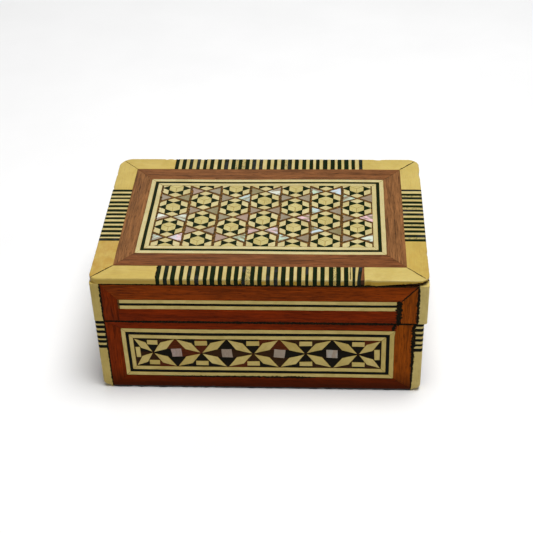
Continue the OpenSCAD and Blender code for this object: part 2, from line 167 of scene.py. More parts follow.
# How far hand work strays from the drawing, and over what length.
BOW = 0.35 * MM
BOW_LENGTH = 45 * MM
WANDER = 0.4 * MM
WANDER_LENGTH = 9 * MM
FIELD_FADE = 5 * MM
STRIPE_DRIFT = 0.42 * MM
STRIPE_DRIFT_LENGTH = 1.9 * MM
BLACK_GAIN = 0.12 * MM

# The second star of the front band, and how far its shift reaches to the left and to the right.
SECOND_STAR = -28 * MM
STAR_SHIFT = 2.6 * MM
REACH_LEFT = 26 * MM
REACH_RIGHT = 95 * MM

# Where the strings round the front band begin to be short, over what length, and how much.
SHORT_FROM = 15 * MM
SHORT_RUN = 35 * MM
SHORTFALL = 0.8 * MM


def bump(distance, reach):
    """A smooth hill, 1 high in the middle and 0 beyond its reach."""
    return (1 + math.cos(math.pi * min(1, abs(distance) / reach))) / 2


def star_shift(panel, x):
    """The second star of the front band was laid too far to the left, and the rest follow.

    The strings round the band are a little short, too, at the right end.
    """
    if panel is not BASE["front"]:
        return 0
    from_star = x - SECOND_STAR
    star = STAR_SHIFT * bump(from_star, REACH_LEFT if from_star < 0 else REACH_RIGHT)
    short = SHORTFALL * within((x - SHORT_FROM) / SHORT_RUN)
    return -star - short


def drift(panel, flat):
    """Where hand work puts a point of the drawing: strings bow a little, and stars wander."""
    near_edge = within(panel.room(flat) / FIELD_FADE)
    in_field = within(panel.room_in_field(flat) / FIELD_FADE)
    place = Vector((flat.x, flat.y, panel.seed * BOW_LENGTH))
    bow = noise.noise_vector(place / BOW_LENGTH)
    wander = noise.noise_vector(place / WANDER_LENGTH)
    shift = Vector((star_shift(panel, flat.x), 0))
    return flat + (bow.xy * BOW + shift) * near_edge + wander.xy * WANDER * in_field


def stripe_layout():
    """How far the striped stretches reach along X and Y, and the step from stripe to stripe."""
    corners = [v.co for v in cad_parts["border_black_stripes"].data.vertices]
    edge = TOP.y1 - border_w - 0.1 * MM
    rows = [c for c in corners if abs(c.y) > edge and abs(c.x) < TOP.x1 - border_w]
    columns = [c for c in corners if abs(c.y) < edge]
    edges = sorted({round(c.x / MM, 3) for c in rows})
    return max(c.x for c in rows), max(c.y for c in columns), (edges[2] - edges[0]) * MM


STRIPED_X, STRIPED_Y, STRIPE_STEP = stripe_layout()

# How much longer a striped stretch is at either end, and how far it lies to the right or back.
BACK_STRETCH = (1.1 * MM, 0.1 * MM)
FRONT_STRETCH = (0.3 * MM, 0.6 * MM)
RIGHT_STRETCH = (0, 0.8 * MM)
STRETCH_FADE = 8 * MM

# How far the last front stripes lean, how much more at the rim, and over what length of it.
LEAN_IN = 0.5 * MM
LEAN_OUT = 0.8 * MM
LEAN_REACH = 4.5 * MM

# The radii that the back corners of the lid are worn to.
BACK_LEFT_ROUND = 5.5 * MM
BACK_RIGHT_ROUND = 4.7 * MM


def stretch_shift(along, reach, longer, later):
    """Moves the striped stretch of a side, which takes the ends of the corner pieces with it."""
    inside = min(1, abs(along) / reach)
    beyond = max(0, abs(along) - reach) / STRETCH_FADE
    return max(0, 1 - beyond) * (math.copysign(longer, along) * inside + later)


def worn_round(panel, flat):
    """The back corners of the lid are worn rounder than the front ones."""
    radius = BACK_LEFT_ROUND if flat.x < 0 else BACK_RIGHT_ROUND
    centre = Vector((math.copysign(panel.x1 - radius, flat.x), panel.y1 - radius))
    out = flat - centre
    if out.x * centre.x > 0 and out.y > 0 and out.length > radius:
        return centre + out.normalized() * radius
    return flat


def joint_drift(panel, flat):
    """The back's striped stretch is longer than the front's, and the right one lies further back."""
    flat = worn_round(panel, flat)
    border = border_w + 0.5 * MM
    if flat.y > panel.y1 - border:
        return flat + Vector((stretch_shift(flat.x, STRIPED_X, *BACK_STRETCH), 0))
    if flat.y < panel.y0 + border:
        return flat + Vector((stretch_shift(flat.x, STRIPED_X, *FRONT_STRETCH), 0))
    if flat.x > panel.x1 - border:
        return flat + Vector((0, stretch_shift(flat.y, STRIPED_Y, *RIGHT_STRETCH)))
    return flat


def stripe_drift(panel, flat):
    """The stripes differ in width, and the last ones at the front right lean away from a gap."""
    in_row = abs(flat.y) > panel.y1 - border_w - 0.5 * MM
    along, reach = (flat.x, STRIPED_X) if in_row else (flat.y, STRIPED_Y)
    row = 7.3 * (flat.y > 0 if in_row else flat.x > 0) + 3.1 * in_row
    fade = within((reach - abs(along)) / MM)
    wave = noise.noise(Vector((along / STRIPE_DRIFT_LENGTH, row, 0.5)))
    thicker = math.sin(2 * math.pi * along / STRIPE_STEP)
    shift = fade * (STRIPE_DRIFT * wave + BLACK_GAIN * thicker)
    if in_row and flat.y < 0:
        outer = (-flat.y - panel.y1 + border_w) / border_w
        shift -= (LEAN_IN + LEAN_OUT * outer) * bump(max(0, reach - along), LEAN_REACH)
    return joint_drift(panel, flat) + (Vector((shift, 0)) if in_row else Vector((0, shift)))


def stay(panel, flat):
    return flat


# ---- Solids of the CAD nodes ----


def solids(node):
    """Each separate solid of a CAD node, as a list of (normal, corner points) for its faces."""
    mesh = bmesh.new()
    mesh.from_mesh(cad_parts[node].data)
    bmesh.ops.remove_doubles(mesh, verts=mesh.verts, dist=1e-6)
    flat_angle = math.radians(2)
    bmesh.ops.dissolve_limit(mesh, angle_limit=flat_angle, verts=mesh.verts, edges=mesh.edges)
    found = []
    seen = set()
    for first in mesh.faces:
        if first in seen:
            continue
        seen.add(first)
        todo = [first]
        solid = []
        while todo:
            face = todo.pop()
            solid.append((face.normal.copy(), [v.co.copy() for v in face.verts]))
            near = {other for edge in face.edges for other in edge.link_faces} - seen
            seen |= near
            todo += sorted(near, key=lambda other: other.index)
        found.append(solid)
    mesh.free()
    return found


def side_of(solid, panels):
    """Which side of the box a solid lies in: the one whose surface it reaches."""
    corners = [c for _, face in solid for c in face]
    return min(SIDES, key=lambda s: panels[s].level - max(c.dot(OUTWARD[s]) for c in corners))


def outline(solid, panel):
    """The flat outline of a solid's outer face, anticlockwise."""
    facing = [face for normal, face in solid if normal.dot(panel.out) > 0.99]
    corners = max(facing, key=lambda face: face[0].dot(panel.out))
    return anticlockwise([panel.flat(c) for c in corners])


def anticlockwise(points):
    area = sum(a.cross(b) for a, b in edges_of(points))
    return points if area > 0 else points[::-1]


# ---- Outlines ----

ON_EDGE = 0.12 * MM
JOINT_ROUND = 0.07 * MM
LONG_STEP = 2.5 * MM
EDGE_STEP = 0.6 * MM

# Chips and ripples along the edge of a panel.
CHIP_LENGTH = 2.4 * MM
CHIP_LEVEL = 0.33
RIPPLE_LENGTH = 0.9 * MM
RIPPLE = 0.05 * MM

# Places where the rim of the lid is broken, with their reach and depth.
NICKS = (
    (TOP.x1, TOP.y0, 4 * MM, MM),
    (-STRIPED_X - 0.4 * MM, TOP.y1, 1.8 * MM, 0.8 * MM),
    (STRIPED_X + 8 * MM, TOP.y1, 3 * MM, 0.35 * MM),
    (TOP.x1, STRIPED_Y + 11 * MM, 2.5 * MM, 0.4 * MM),
)


def longest(points):
    return max((b - a for a, b in edges_of(points)), key=lambda edge: edge.length)


def middle(points):
    return sum(points, Vector((0, 0))) / len(points)


def on_edge(panel, flat):
    """Whether a point lies on the outline of the panel."""
    across = min(flat.x - panel.x0, panel.x1 - flat.x)
    along = min(flat.y - panel.y0, panel.y1 - flat.y)
    from_corner = Vector((across, along))
    if max(from_corner) < panel.corner:
        corner = Vector((panel.corner, panel.corner))
        return (corner - from_corner).length > panel.corner - ON_EDGE
    return min(from_corner) < ON_EDGE


def subdivided(panel, points):
    """More points along the long edges, so that they can drift and chip."""
    more = []
    for a, b in edges_of(points):
        step = EDGE_STEP if on_edge(panel, (a + b) / 2) else LONG_STEP
        count = max(1, round((b - a).length / step))
        more += [a.lerp(b, i / count) for i in range(count)]
    return more


def nicked(panel, flat):
    """How deep the rim of the lid is broken at a point."""
    if panel is not TOP:
        return 0
    return sum(bump((flat - Vector((x, y))).length, reach) * depth for x, y, reach, depth in NICKS)


def chipped(panel, points, widths):
    """Notches worn into the edge of the panel."""
    worn = []
    for i, p in enumerate(points):
        if min(widths[i], widths[i - 1]) > JOINT_ROUND:
            coarse = noise.noise(Vector((p.x, p.y, panel.seed * MM)) / CHIP_LENGTH)
            fine = noise.noise(Vector((p.x, p.y, panel.seed * MM)) / RIPPLE_LENGTH)
            depth = RIPPLE * (1 + fine) + max(0, coarse - CHIP_LEVEL) * panel.wear
            depth += nicked(panel, p) * (0.5 + 0.5 * fine)
            before = points[i - 1]
            after = points[(i + 1) % len(points)]
            tangent = (after - before).normalized()
            p = p + Vector((-tangent.y, tangent.x)) * depth
        worn.append(p)
    return worn


def inset(points, widths, share=1):
    """The outline moved inwards by a share of each edge's width."""
    moved = []
    for i, p in enumerate(points):
        before = (p - points[i - 1]).normalized()
        after = (points[(i + 1) % len(points)] - p).normalized()
        n1 = Vector((-before.y, before.x))
        n2 = Vector((-after.y, after.x))
        w1 = widths[i - 1] * share
        w2 = widths[i] * share
        turn = n1.cross(n2)
        if abs(turn) < 0.2:
            moved.append(p + (n1 + n2).normalized() * max(w1, w2, key=abs))
        else:
            moved.append(p + Vector((w1 * n2.y - w2 * n1.y, n1.x * w2 - n2.x * w1)) / turn)
    return moved


# ---- Pieces ----

SHARP = math.radians(40)
ROUND_ANGLES = [math.radians(a) for a in (0, 35, 65, 90)]
ROUGH_CUT = 0.03 * MM
UNEVEN = 0.03 * MM
# The least edge value at a piece's foot: below the glue and dirt of the joints, and enough for the
# painted shade on the sides of bone.
FOOT_SHADE_EDGE = 0.2
FILLER_LIFT = 0.05 * MM
FILLER_DEPTH = 0.5 * MM
FILLER_STEP = 0.4 * MM
RAGGED = 0.55


def new_object(name, data):
    made = bpy.data.objects.new(name, data)
    bpy.context.scene.collection.objects.link(made)
    return made


def shade_smooth(data):
    data.polygons.foreach_set("use_smooth", [True] * len(data.polygons))


def new_piece(name, mesh, material):
    """A smooth object from an edit mesh, which is freed."""
    bmesh.ops.recalc_face_normals(mesh, faces=mesh.faces)
    data = bpy.data.meshes.new(name)
    mesh.to_mesh(data)
    mesh.free()
    data.materials.append(material)
    shade_smooth(data)
    return new_object(name, data)


def attach(piece, body, slot, nodes):
    """Lets a piece ride on a body, in place of CAD nodes."""
    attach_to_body(piece, body)
    if nodes:
        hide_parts(*nodes)


class Inlay:
    """Many small pieces of one material, which become one object."""

    def __init__(self, name, seed):
        self.name = name
        self.random = random.Random(seed)
        self.mesh = bmesh.new()
        self.tone = self.mesh.verts.layers.float.new("tone")
        self.edge = self.mesh.verts.layers.float.new("edge")
        self.grain = self.mesh.verts.layers.float_vector.new("grain")

    def grain_frame(self, along):
        """Turns a place into grain coordinates in millimetres, with the grain along X."""
        offset = Vector([self.random.uniform(-99, 99) for _ in range(3)])
        along = along.normalized()
        helper = UP if abs(along.z) < 0.9 else BACKWARD
        across = along.cross(helper).normalized()
        depth = along.cross(across)
        return lambda p: Vector((p.dot(along), p.dot(across), p.dot(depth))) / MM + offset

    def vertex(self, place, tone, edge, grain):
        made = self.mesh.verts.new(place)
        made[self.tone] = tone
        made[self.edge] = edge
        made[self.grain] = grain(place)
        return made

    def slab(self, panel, points, thickness, lift=0, tone=None, move=drift, worn=None):
        """A flat piece with rounded upper edges. worn is how much of its foot is broken off."""
        grain = self.grain_frame(panel.place(longest(points), 0))
        points = subdivided(panel, points)
        edges = [on_edge(panel, (a + b) / 2) for a, b in edges_of(points)]
        widths = [panel.edge_round if edge else JOINT_ROUND for edge in edges]
        points = chipped(panel, points, widths)
        points = [move(panel, p) + self.jitter() for p in points]
        tone = self.random.random() if tone is None else tone
        level = panel.level + lift + self.random.uniform(-UNEVEN, UNEVEN)
        drops = [max(widths[i - 1], w) for i, w in enumerate(widths)]
        dirt = [panel.outline_dirt if edges[i] or edges[i - 1] else 1 for i in range(len(points))]
        feet = [level - thickness + (worn(p) if worn else 0) for p in points]
        foot = [panel.place(p, z) for p, z in zip(points, feet)]
        rings = [[self.vertex(p, tone, max(d, FOOT_SHADE_EDGE), grain) for p, d in zip(foot, dirt)]]
        for angle in ROUND_ANGLES:
            fall = 1 - math.sin(angle)
            inner = inset(points, widths, 1 - math.cos(angle))
            ring = [panel.place(p, level - fall * drop) for p, drop in zip(inner, drops)]
            rings.append([self.vertex(p, tone, fall * d, grain) for p, d in zip(ring, dirt)])
        self.skin(rings)

    def jitter(self):
        return Vector([self.random.uniform(-ROUGH_CUT, ROUGH_CUT) for _ in range(2)])

    def ribbon(self, panel, start, end, widths, move=drift, lift=FILLER_LIFT):
        """A ragged line of filler that lies in a joint, with its width at either end."""
        start = Vector(start)
        along = Vector(end) - start
        side = Vector((-along.y, along.x)).normalized()
        count = max(3, round(along.length / FILLER_STEP))
        grain = self.grain_frame(panel.place(along, 0))
        banks = [[], []]
        for i in range(count + 1):
            t = i / count
            taper = min(1, 6 * min(t, 1 - t) + 0.35)
            for way, bank in zip((-1, 1), banks):
                ragged = 0.5 * (1 + self.random.uniform(-RAGGED, RAGGED))
                width = (widths[0] * (1 - t) + widths[1] * t) * taper * ragged
                bank.append(move(panel, start + along * t) + side * way * width)
        points = anticlockwise(banks[0] + banks[1][::-1])
        tone = self.random.random()
        high = panel.level + lift
        rings = []
        for level in (high - FILLER_DEPTH, high):
            rings.append([self.vertex(panel.place(p, level), tone, 0, grain) for p in points])
        self.skin(rings)

    def skin(self, rings):
        """Closes a stack of rings, each with as many vertices as the others."""
        count = len(rings[0])
        for low, high in zip(rings, rings[1:]):
            for i in range(count):
                j = (i + 1) % count
                self.mesh.faces.new((low[i], low[j], high[j], high[i]))
        self.mesh.faces.new(rings[0][::-1])
        self.mesh.faces.new(rings[-1])

    def copy(self, solid, move=Vector, tone_of=None):
        """A piece with all the faces of a CAD solid, each corner moved by a function."""
        corners = [c for _, face in solid for c in face]
        size = [max(c[i] for c in corners) - min(c[i] for c in corners) for i in range(3)]
        grain = self.grain_frame(Vector([float(s == max(size)) for s in size]))
        tone = tone_of(corners[0]) if tone_of else self.random.random()
        made = {}
        for _, face in solid:
            keys = [tuple(round(v / (0.001 * MM)) for v in c) for c in face]
            for key, corner in zip(keys, face):
                if key not in made:
                    made[key] = self.vertex(move(corner), tone, 0, grain)
            loop = [made[k] for i, k in enumerate(keys) if k != keys[i - 1]]
            if len(loop) > 2:
                self.mesh.faces.new(loop)

    def finish(self, body, material, slot, nodes, bevel=None):
        """Makes the object, which rides on a body in place of CAD nodes."""
        made = new_piece(self.name, self.mesh, material)
        made.data.set_sharp_from_angle(angle=SHARP)
        if bevel:
            soften(made, bevel)
        attach(made, body, slot, nodes)
        return made


def soften(piece, width):
    """Rounds every sharp edge of a piece."""
    modifier = piece.modifiers.new("edges", "BEVEL")
    modifier.width = width
    modifier.segments = 2
    modifier.limit_method = "ANGLE"
    modifier.angle_limit = SHARP


# ---- Materials ----


class Shader:
    """A node material, built step by step."""

    def __init__(self, name, **surface):
        self.material = bpy.data.materials.new(name)
        self.material.use_nodes = True
        self.tree = self.material.node_tree
        self.surface = self.tree.nodes["Principled BSDF"]
        for socket, value in surface.items():
            self.feed(self.surface.inputs[socket.replace("_", " ")], value)

    def feed(self, socket, value):
        if isinstance(value, bpy.types.NodeSocket):
            self.tree.links.new(value, socket)
        elif isinstance(value, tuple) and len(value) == 3 and socket.type == "RGBA":
            socket.default_value = (*value, 1)
        else:
            socket.default_value = value

    def node(self, kind, inputs=None, **settings):
        made = self.tree.nodes.new(kind)
        for name, value in settings.items():
            setattr(made, name, value)
        for name, value in (inputs or {}).items():
            self.feed(made.inputs[name], value)
        return made

    def attribute(self, name, output):
        return self.node("ShaderNodeAttribute", attribute_name=name).outputs[output]

    def grain(self):
        return self.attribute("grain", "Vector")

    def tone(self):
        return self.attribute("tone", "Fac")

    def edge(self):
        return self.attribute("edge", "Fac")

    def object_mm(self):
        """The place on the object, in millimetres."""
        place = self.node("ShaderNodeTexCoord").outputs["Object"]
        return self.stretched(place, 1 / MM, 1 / MM, 1 / MM)

    def height_mm(self):
        parts = self.node("ShaderNodeSeparateXYZ", {"Vector": self.object_mm()})
        return parts.outputs["Z"]

    def stretched(self, vector, x, y, z):
        factors = self.node("ShaderNodeVectorMath", operation="MULTIPLY")
        self.feed(factors.inputs[0], vector)
        self.feed(factors.inputs[1], (x, y, z))
        return factors.outputs[0]

    def noise(self, vector, scale=1.0, detail=3.0, roughness=0.5, distortion=0.0):
        inputs = {
            "Vector": vector,
            "Scale": scale,
            "Detail": detail,
            "Roughness": roughness,
            "Distortion": distortion,
        }
        return self.node("ShaderNodeTexNoise", inputs).outputs["Fac"]

    def streaks(self, vector, along, across, detail, roughness=0.5, distortion=0.0):
        """Noise with one scale along X and another across it, as in wood."""
        vector = self.stretched(vector, along, across, across)
        return self.noise(vector, 1, detail, roughness, distortion)

    def cells(self, vector, scale):
        made = self.node("ShaderNodeTexVoronoi", {"Vector": vector, "Scale": scale})
        return made.outputs["Distance"]

    def ramp(self, factor, *stops):
        """Colours at given positions of a factor, or greys where a stop has a plain number."""
        made = self.node("ShaderNodeValToRGB", {"Fac": factor})
        elements = made.color_ramp.elements
        while len(elements) < len(stops):
            elements.new(0.5)
        for element, (position, colour) in zip(elements, stops):
            element.position = position
            element.color = (*(colour if isinstance(colour, tuple) else [colour] * 3), 1)
        return made.outputs["Color"]

    def band(self, factor, low, high, start=0.0, end=1.0):
        """A factor stretched from low..high to start..end, and held there outside."""
        inputs = {"Value": factor, "From Min": low, "From Max": high, "To Min": start, "To Max": end}
        return self.node("ShaderNodeMapRange", inputs).outputs["Result"]

    def maths(self, operation, a, b=0.0):
        made = self.node("ShaderNodeMath", operation=operation)
        self.feed(made.inputs[0], a)
        self.feed(made.inputs[1], b)
        return made.outputs[0]

    def plus(self, a, b):
        return self.maths("ADD", a, b)

    def minus(self, a, b):
        return self.maths("SUBTRACT", a, b)

    def times(self, a, b):
        return self.maths("MULTIPLY", a, b)

    def mix(self, factor, a, b, blend="MIX"):
        made = self.node("ShaderNodeMix", data_type="RGBA", blend_type=blend)
        self.feed(made.inputs[0], factor)
        self.feed(made.inputs[6], a)
        self.feed(made.inputs[7], b)
        return made.outputs[2]

    def bump(self, height, distance_mm):
        inputs = {"Height": height, "Distance": distance_mm * MM}
        return self.node("ShaderNodeBump", inputs).outputs["Normal"]

    def use(self, colour=None, roughness=None, normal=None):
        for name, value in (("Base Color", colour), ("Roughness", roughness), ("Normal", normal)):
            if value is not None:
                self.feed(self.surface.inputs[name], value)
        return self.material


GRIME = (0.045, 0.02, 0.008)


def edge_grime(shader, colour, amount):
    """Glue and dirt gathered in the joints."""
    edge = shader.band(shader.edge(), FOOT_SHADE_EDGE, 0.7, 0, amount)
    return shader.mix(edge, colour, GRIME)


def bone_material(name, light, dark, fleck=0.0):
    """Polished yellowed bone: clouds, fine lines along the grain and small dark pores.

    A tone above 1 adds orange blotches, where hands have held the box.
    """
    below = {"Subsurface_Weight": 0.08, "Subsurface_Radius": (0.0008, 0.0005, 0.0002)}
    s = Shader(name, Specular_IOR_Level=0.22, **below)
    grain = s.grain()
    cloud = s.noise(grain, 0.16, 4, 0.6, 0.6)
    lines = s.streaks(grain, 0.22, 3.2, 5, 0.6)
    colour = s.mix(s.band(s.tone(), 0, 1, 0, 0.75), light, dark)
    colour = s.mix(s.band(cloud, 0.38, 0.7, 0, 0.55), colour, tuple(0.83 * c for c in dark))
    colour = s.mix(s.band(lines, 0.5, 0.75, 0, 0.42), colour, (0.3, 0.17, 0.05))
    pores = s.cells(s.stretched(grain, 0.7, 2.1, 2.1), 0.9)
    pore = s.band(pores, 0.04, 0.12, 1, 0)
    colour = s.mix(s.times(pore, 0.5), colour, (0.12, 0.06, 0.02))
    if fleck:
        flecks = s.streaks(grain, 0.9, 1.6, 2, 0.5, 1.5)
        flecks = s.times(s.band(flecks, 0.5, 0.6), s.band(s.tone(), 0.9, 0.91, 0, fleck))
        colour = s.mix(flecks, colour, (0.04, 0.06, 0.03))
    # Painted shade: below the flat top, the sides and rounded edges of each piece turn a deeper
    # orange-brown, more so in pieces of low tone.
    foot = s.band(s.edge(), 0, 0.3 * FOOT_SHADE_EDGE)
    painted_foot_shade = s.times(foot, s.band(s.tone(), 0, 1, 1, 0.55))
    colour = s.mix(painted_foot_shade, colour, (0.39, 0.23, 0.008))
    blotches = s.band(s.noise(grain, 0.3, 4, 0.6, 0.5), 0.35, 0.62, 0.25, 0.95)
    handled = s.times(blotches, s.band(s.tone(), 1, 2))
    colour = s.mix(handled, colour, (0.36, 0.17, 0.012))
    colour = edge_grime(s, colour, 0.8)
    relief = s.minus(s.times(lines, 0.6), s.times(pore, 0.8))
    roughness = s.band(cloud, 0.3, 0.7, 0.3, 0.5)
    return s.use(colour, roughness, s.bump(relief, 0.025))


def black_wood_material(name, dark, light, slate=0.0):
    """Black-green dyed wood with fine open pores. Some pieces may have faded to slate."""
    s = Shader(name, Specular_IOR_Level=0.04)
    grain = s.grain()
    fibres = s.streaks(grain, 0.3, 5, 4, 0.6)
    colour = s.ramp(fibres, (0.3, dark), (0.75, light))
    if slate:
        cloud = s.noise(grain, 0.3, 2)
        faded = s.times(s.band(cloud, 0.4, 0.6), s.band(s.tone(), 0.7, 0.72, 0, slate))
        colour = s.mix(faded, colour, (0.026, 0.028, 0.031))
    colour = edge_grime(s, colour, 0.3)
    return s.use(colour, s.band(fibres, 0.3, 0.7, 0.32, 0.52), s.bump(fibres, 0.02))


def mahogany_material(name, gloss, dust, red, orange):
    """Reddish brown veneer: ribbons, fibres and short dark pores along the grain.

    Each piece has a tone of its own between red and orange.
    """
    s = Shader(name, Specular_IOR_Level=gloss)
    grain = s.grain()
    ribbons = s.streaks(grain, 0.04, 0.6, 3, 0.5, 0.4)
    streaks = s.streaks(grain, 0.16, 2.3, 3, 0.6, 0.3)
    fibres = s.streaks(grain, 0.3, 6.5, 4, 0.65)
    figure = s.plus(s.times(ribbons, 0.35), s.times(streaks, 0.45))
    figure = s.plus(figure, s.times(fibres, 0.2))
    colour = s.mix(s.tone(), red, orange)
    shade = s.ramp(figure, (0.38, 0.42), (0.5, 0.95), (0.64, 1.5))
    colour = s.mix(1.0, colour, shade, "MULTIPLY")
    dashes = s.streaks(grain, 0.35, 3.4, 2, 0.5)
    pore = s.band(dashes, 0.6, 0.7, 0, 1)
    colour = s.mix(s.times(pore, 0.7), colour, tuple(0.18 * c for c in red))
    specks = s.band(s.noise(grain, 2.3, 3), 0.66, 0.74, 0, dust)
    colour = s.mix(specks, colour, (0.42, 0.28, 0.15))
    # Painted shade: the wood darkens towards the bottom of the box, from 10 mm above the floor
    # downwards.
    colour = s.mix(s.band(s.height_mm(), 2, 10, 0.85, 0), colour, (0.05, 0.008, 0.001))
    colour = edge_grime(s, colour, 0.85)
    relief = s.minus(s.times(fibres, 0.5), pore)
    roughness = s.band(ribbons, 0.3, 0.7, 0.36, 0.52)
    return s.use(colour, roughness, s.bump(relief, 0.03))


def pearl_material(name, palette, sheen_flares):
    """Mother-of-pearl: dull pieces, each with its own tint, and painted sheen that sweeps in bright
    streaks across some of them.
    """
    s = Shader(name, Coat_Weight=0.15, Coat_Roughness=0.15, Specular_IOR_Level=0.2)
    grain = s.grain()
    tint = s.ramp(s.tone(), *[(i / len(palette), colour) for i, colour in enumerate(palette)])
    silk = s.streaks(grain, 0.35, 1.6, 4, 0.6, 1.6)
    colour = s.mix(s.band(silk, 0.5, 0.75, 0, 0.25), tint, (0.42, 0.38, 0.3))
    own = s.maths("FRACT", s.times(s.tone(), 23.0))
    hue = s.plus(s.times(own, 0.7), s.times(s.noise(grain, 0.35, 2), 0.5))
    # Painted sheen: bright streaks of white, mint, blue and pink across some pieces, as light plays
    # on the nacre.
    white, mint = (0.3, (0.66, 0.7, 0.6)), (0.5, (0.42, 0.56, 0.4))
    blue, pink = (0.7, (0.5, 0.6, 0.68)), (0.88, (0.72, 0.45, 0.48))
    sheen_colour = s.ramp(hue, white, mint, blue, pink)
    bright = s.band(s.maths("FRACT", s.times(s.tone(), 7.0)), 0.5, 0.56, 0, sheen_flares)
    sheen_sweep = s.band(s.streaks(grain, 0.16, 0.6, 2, 0.5, 0.8), 0.44, 0.56)
    colour = s.mix(s.times(bright, sheen_sweep), colour, sheen_colour)
    colour = s.mix(s.band(silk, 0.28, 0.44, 0.55, 0), colour, (0.13, 0.1, 0.06))
    colour = edge_grime(s, colour, 0.7)
    return s.use(colour, s.band(silk, 0.3, 0.7, 0.16, 0.36), s.bump(silk, 0.03))


def glue_material():
    """Brown glue and dust that fill the joints."""
    s = Shader("glue", Specular_IOR_Level=0.08)
    place = s.object_mm()
    lumps = s.noise(place, 1.1, 4, 0.6)
    grit = s.noise(place, 5.5, 3, 0.6)
    dark, brown, amber = (0.03, 0.02, 0.005), (0.085, 0.042, 0.01), (0.2, 0.085, 0.014)
    colour = s.ramp(lumps, (0.36, dark), (0.5, brown), (0.64, amber))
    colour = s.mix(s.band(grit, 0.62, 0.72, 0, 0.8), colour, (0.01, 0.007, 0.002))
    return s.use(colour, s.band(grit, 0.3, 0.7, 0.5, 0.85), s.bump(s.plus(lumps, grit), 0.06))


def filler_material():
    """Dark wax and dirt rubbed into the wider joints, with pale dust here and there; also the lines
    of painted shadow.
    """
    s = Shader("filler", Specular_IOR_Level=0.04)
    place = s.object_mm()
    lumps = s.noise(place, 1.6, 4, 0.65)
    dust = s.noise(place, 2.9, 3, 0.6, 0.8)
    black, brown, tan = (0.004, 0.003, 0.001), (0.012, 0.008, 0.003), (0.07, 0.04, 0.012)
    colour = s.ramp(lumps, (0.4, black), (0.58, brown), (0.72, tan))
    colour = s.mix(s.band(dust, 0.66, 0.72, 0, 0.7), colour, (0.16, 0.13, 0.06))
    return s.use(colour, s.band(lumps, 0.3, 0.7, 0.6, 0.9), s.bump(s.plus(lumps, dust), 0.08))


def chip_material():
    """Slips of black and of red-brown wood, set between the bone of the star bands."""
    s = Shader("star_chips", Specular_IOR_Level=0.04)
    grain = s.grain()
    fibres = s.streaks(grain, 0.5, 5, 4, 0.7)
    black = s.ramp(fibres, (0.35, (0.003, 0.002, 0.001)), (0.75, (0.013, 0.009, 0.002)))
    brown = s.ramp(fibres, (0.35, (0.016, 0.005, 0.001)), (0.7, (0.055, 0.022, 0.004)))
    red = s.ramp(fibres, (0.35, (0.05, 0.008, 0.001)), (0.7, (0.13, 0.026, 0.003)))
    colour = s.mix(s.band(s.tone(), 0.55, 0.57), black, brown)
    colour = s.mix(s.band(s.tone(), 0.84, 0.86), colour, red)
    rim = s.band(s.edge(), 0.0, 0.5, 0, 0.8)
    colour = s.mix(rim, colour, (0.13, 0.025, 0.003))
    return s.use(colour, s.band(fibres, 0.3, 0.7, 0.4, 0.65), s.bump(fibres, 0.05))


def carcass_material():
    """Plain pale board under the veneer, with straight grain."""
    s = Shader("carcass_wood")
    place = s.object_mm()
    rings = s.streaks(place, 0.03, 0.7, 3, 0.5, 0.5)
    fibres = s.streaks(place, 0.12, 5, 4, 0.6)
    late, wood, early = (0.28, 0.15, 0.065), (0.45, 0.28, 0.14), (0.56, 0.38, 0.2)
    colour = s.ramp(rings, (0.35, late), (0.5, wood), (0.65, early))
    colour = s.mix(s.band(fibres, 0.45, 0.75, 0, 0.5), colour, (0.2, 0.1, 0.04))
    return s.use(colour, s.band(fibres, 0.3, 0.7, 0.55, 0.75), s.bump(fibres, 0.05))


def brass_material():
    """Old brass, brown where fingers don't reach."""
    s = Shader("brass", Metallic=1.0)
    place = s.object_mm()
    patina = s.noise(place, 0.8, 4, 0.65)
    scratches = s.streaks(place, 0.8, 14, 3, 0.6)
    brown, dull, bright = (0.2, 0.11, 0.035), (0.56, 0.38, 0.13), (0.75, 0.55, 0.24)
    colour = s.ramp(patina, (0.35, brown), (0.52, dull), (0.7, bright))
    roughness = s.plus(s.band(patina, 0.3, 0.7, 0.5, 0.26), s.band(scratches, 0.4, 0.7, 0, 0.12))
    return s.use(colour, roughness, s.bump(scratches, 0.01))


def velvet_material(name, dark, light):
    """Short pile, brushed to and fro in patches."""
    sheen = {"Sheen_Weight": 0.7, "Sheen_Roughness": 0.3, "Sheen_Tint": (0.9, 0.3, 0.35, 1)}
    s = Shader(name, Specular_IOR_Level=0.1, **sheen)
    place = s.object_mm()
    brushed = s.noise(s.stretched(place, 0.05, 0.09, 0.07), 1, 2, 0.5, 0.3)
    strokes = s.streaks(place, 0.5, 1.4, 3, 0.6, 0.4)
    pile = s.noise(place, 5, 3, 0.7)
    shade = s.plus(s.times(brushed, 0.5), s.times(strokes, 0.3))
    shade = s.plus(shade, s.times(pile, 0.2))
    colour = s.ramp(shade, (0.38, dark), (0.62, light))
    relief = s.plus(pile, s.times(strokes, 0.8))
    return s.use(colour, s.band(pile, 0.3, 0.7, 0.8, 1.0), s.bump(relief, 0.12))


def felt_material():
    """Thin black felt with matted fibres."""
    s = Shader("felt", Sheen_Weight=0.3, Sheen_Roughness=0.6, Specular_IOR_Level=0.1)
    place = s.object_mm()
    fibres = s.noise(place, 3.5, 5, 0.75, 1.5)
    colour = s.ramp(fibres, (0.3, (0.004, 0.004, 0.005)), (0.75, (0.028, 0.027, 0.03)))
    return s.use(colour, s.band(fibres, 0.3, 0.7, 0.85, 1.0), s.bump(fibres, 0.15))


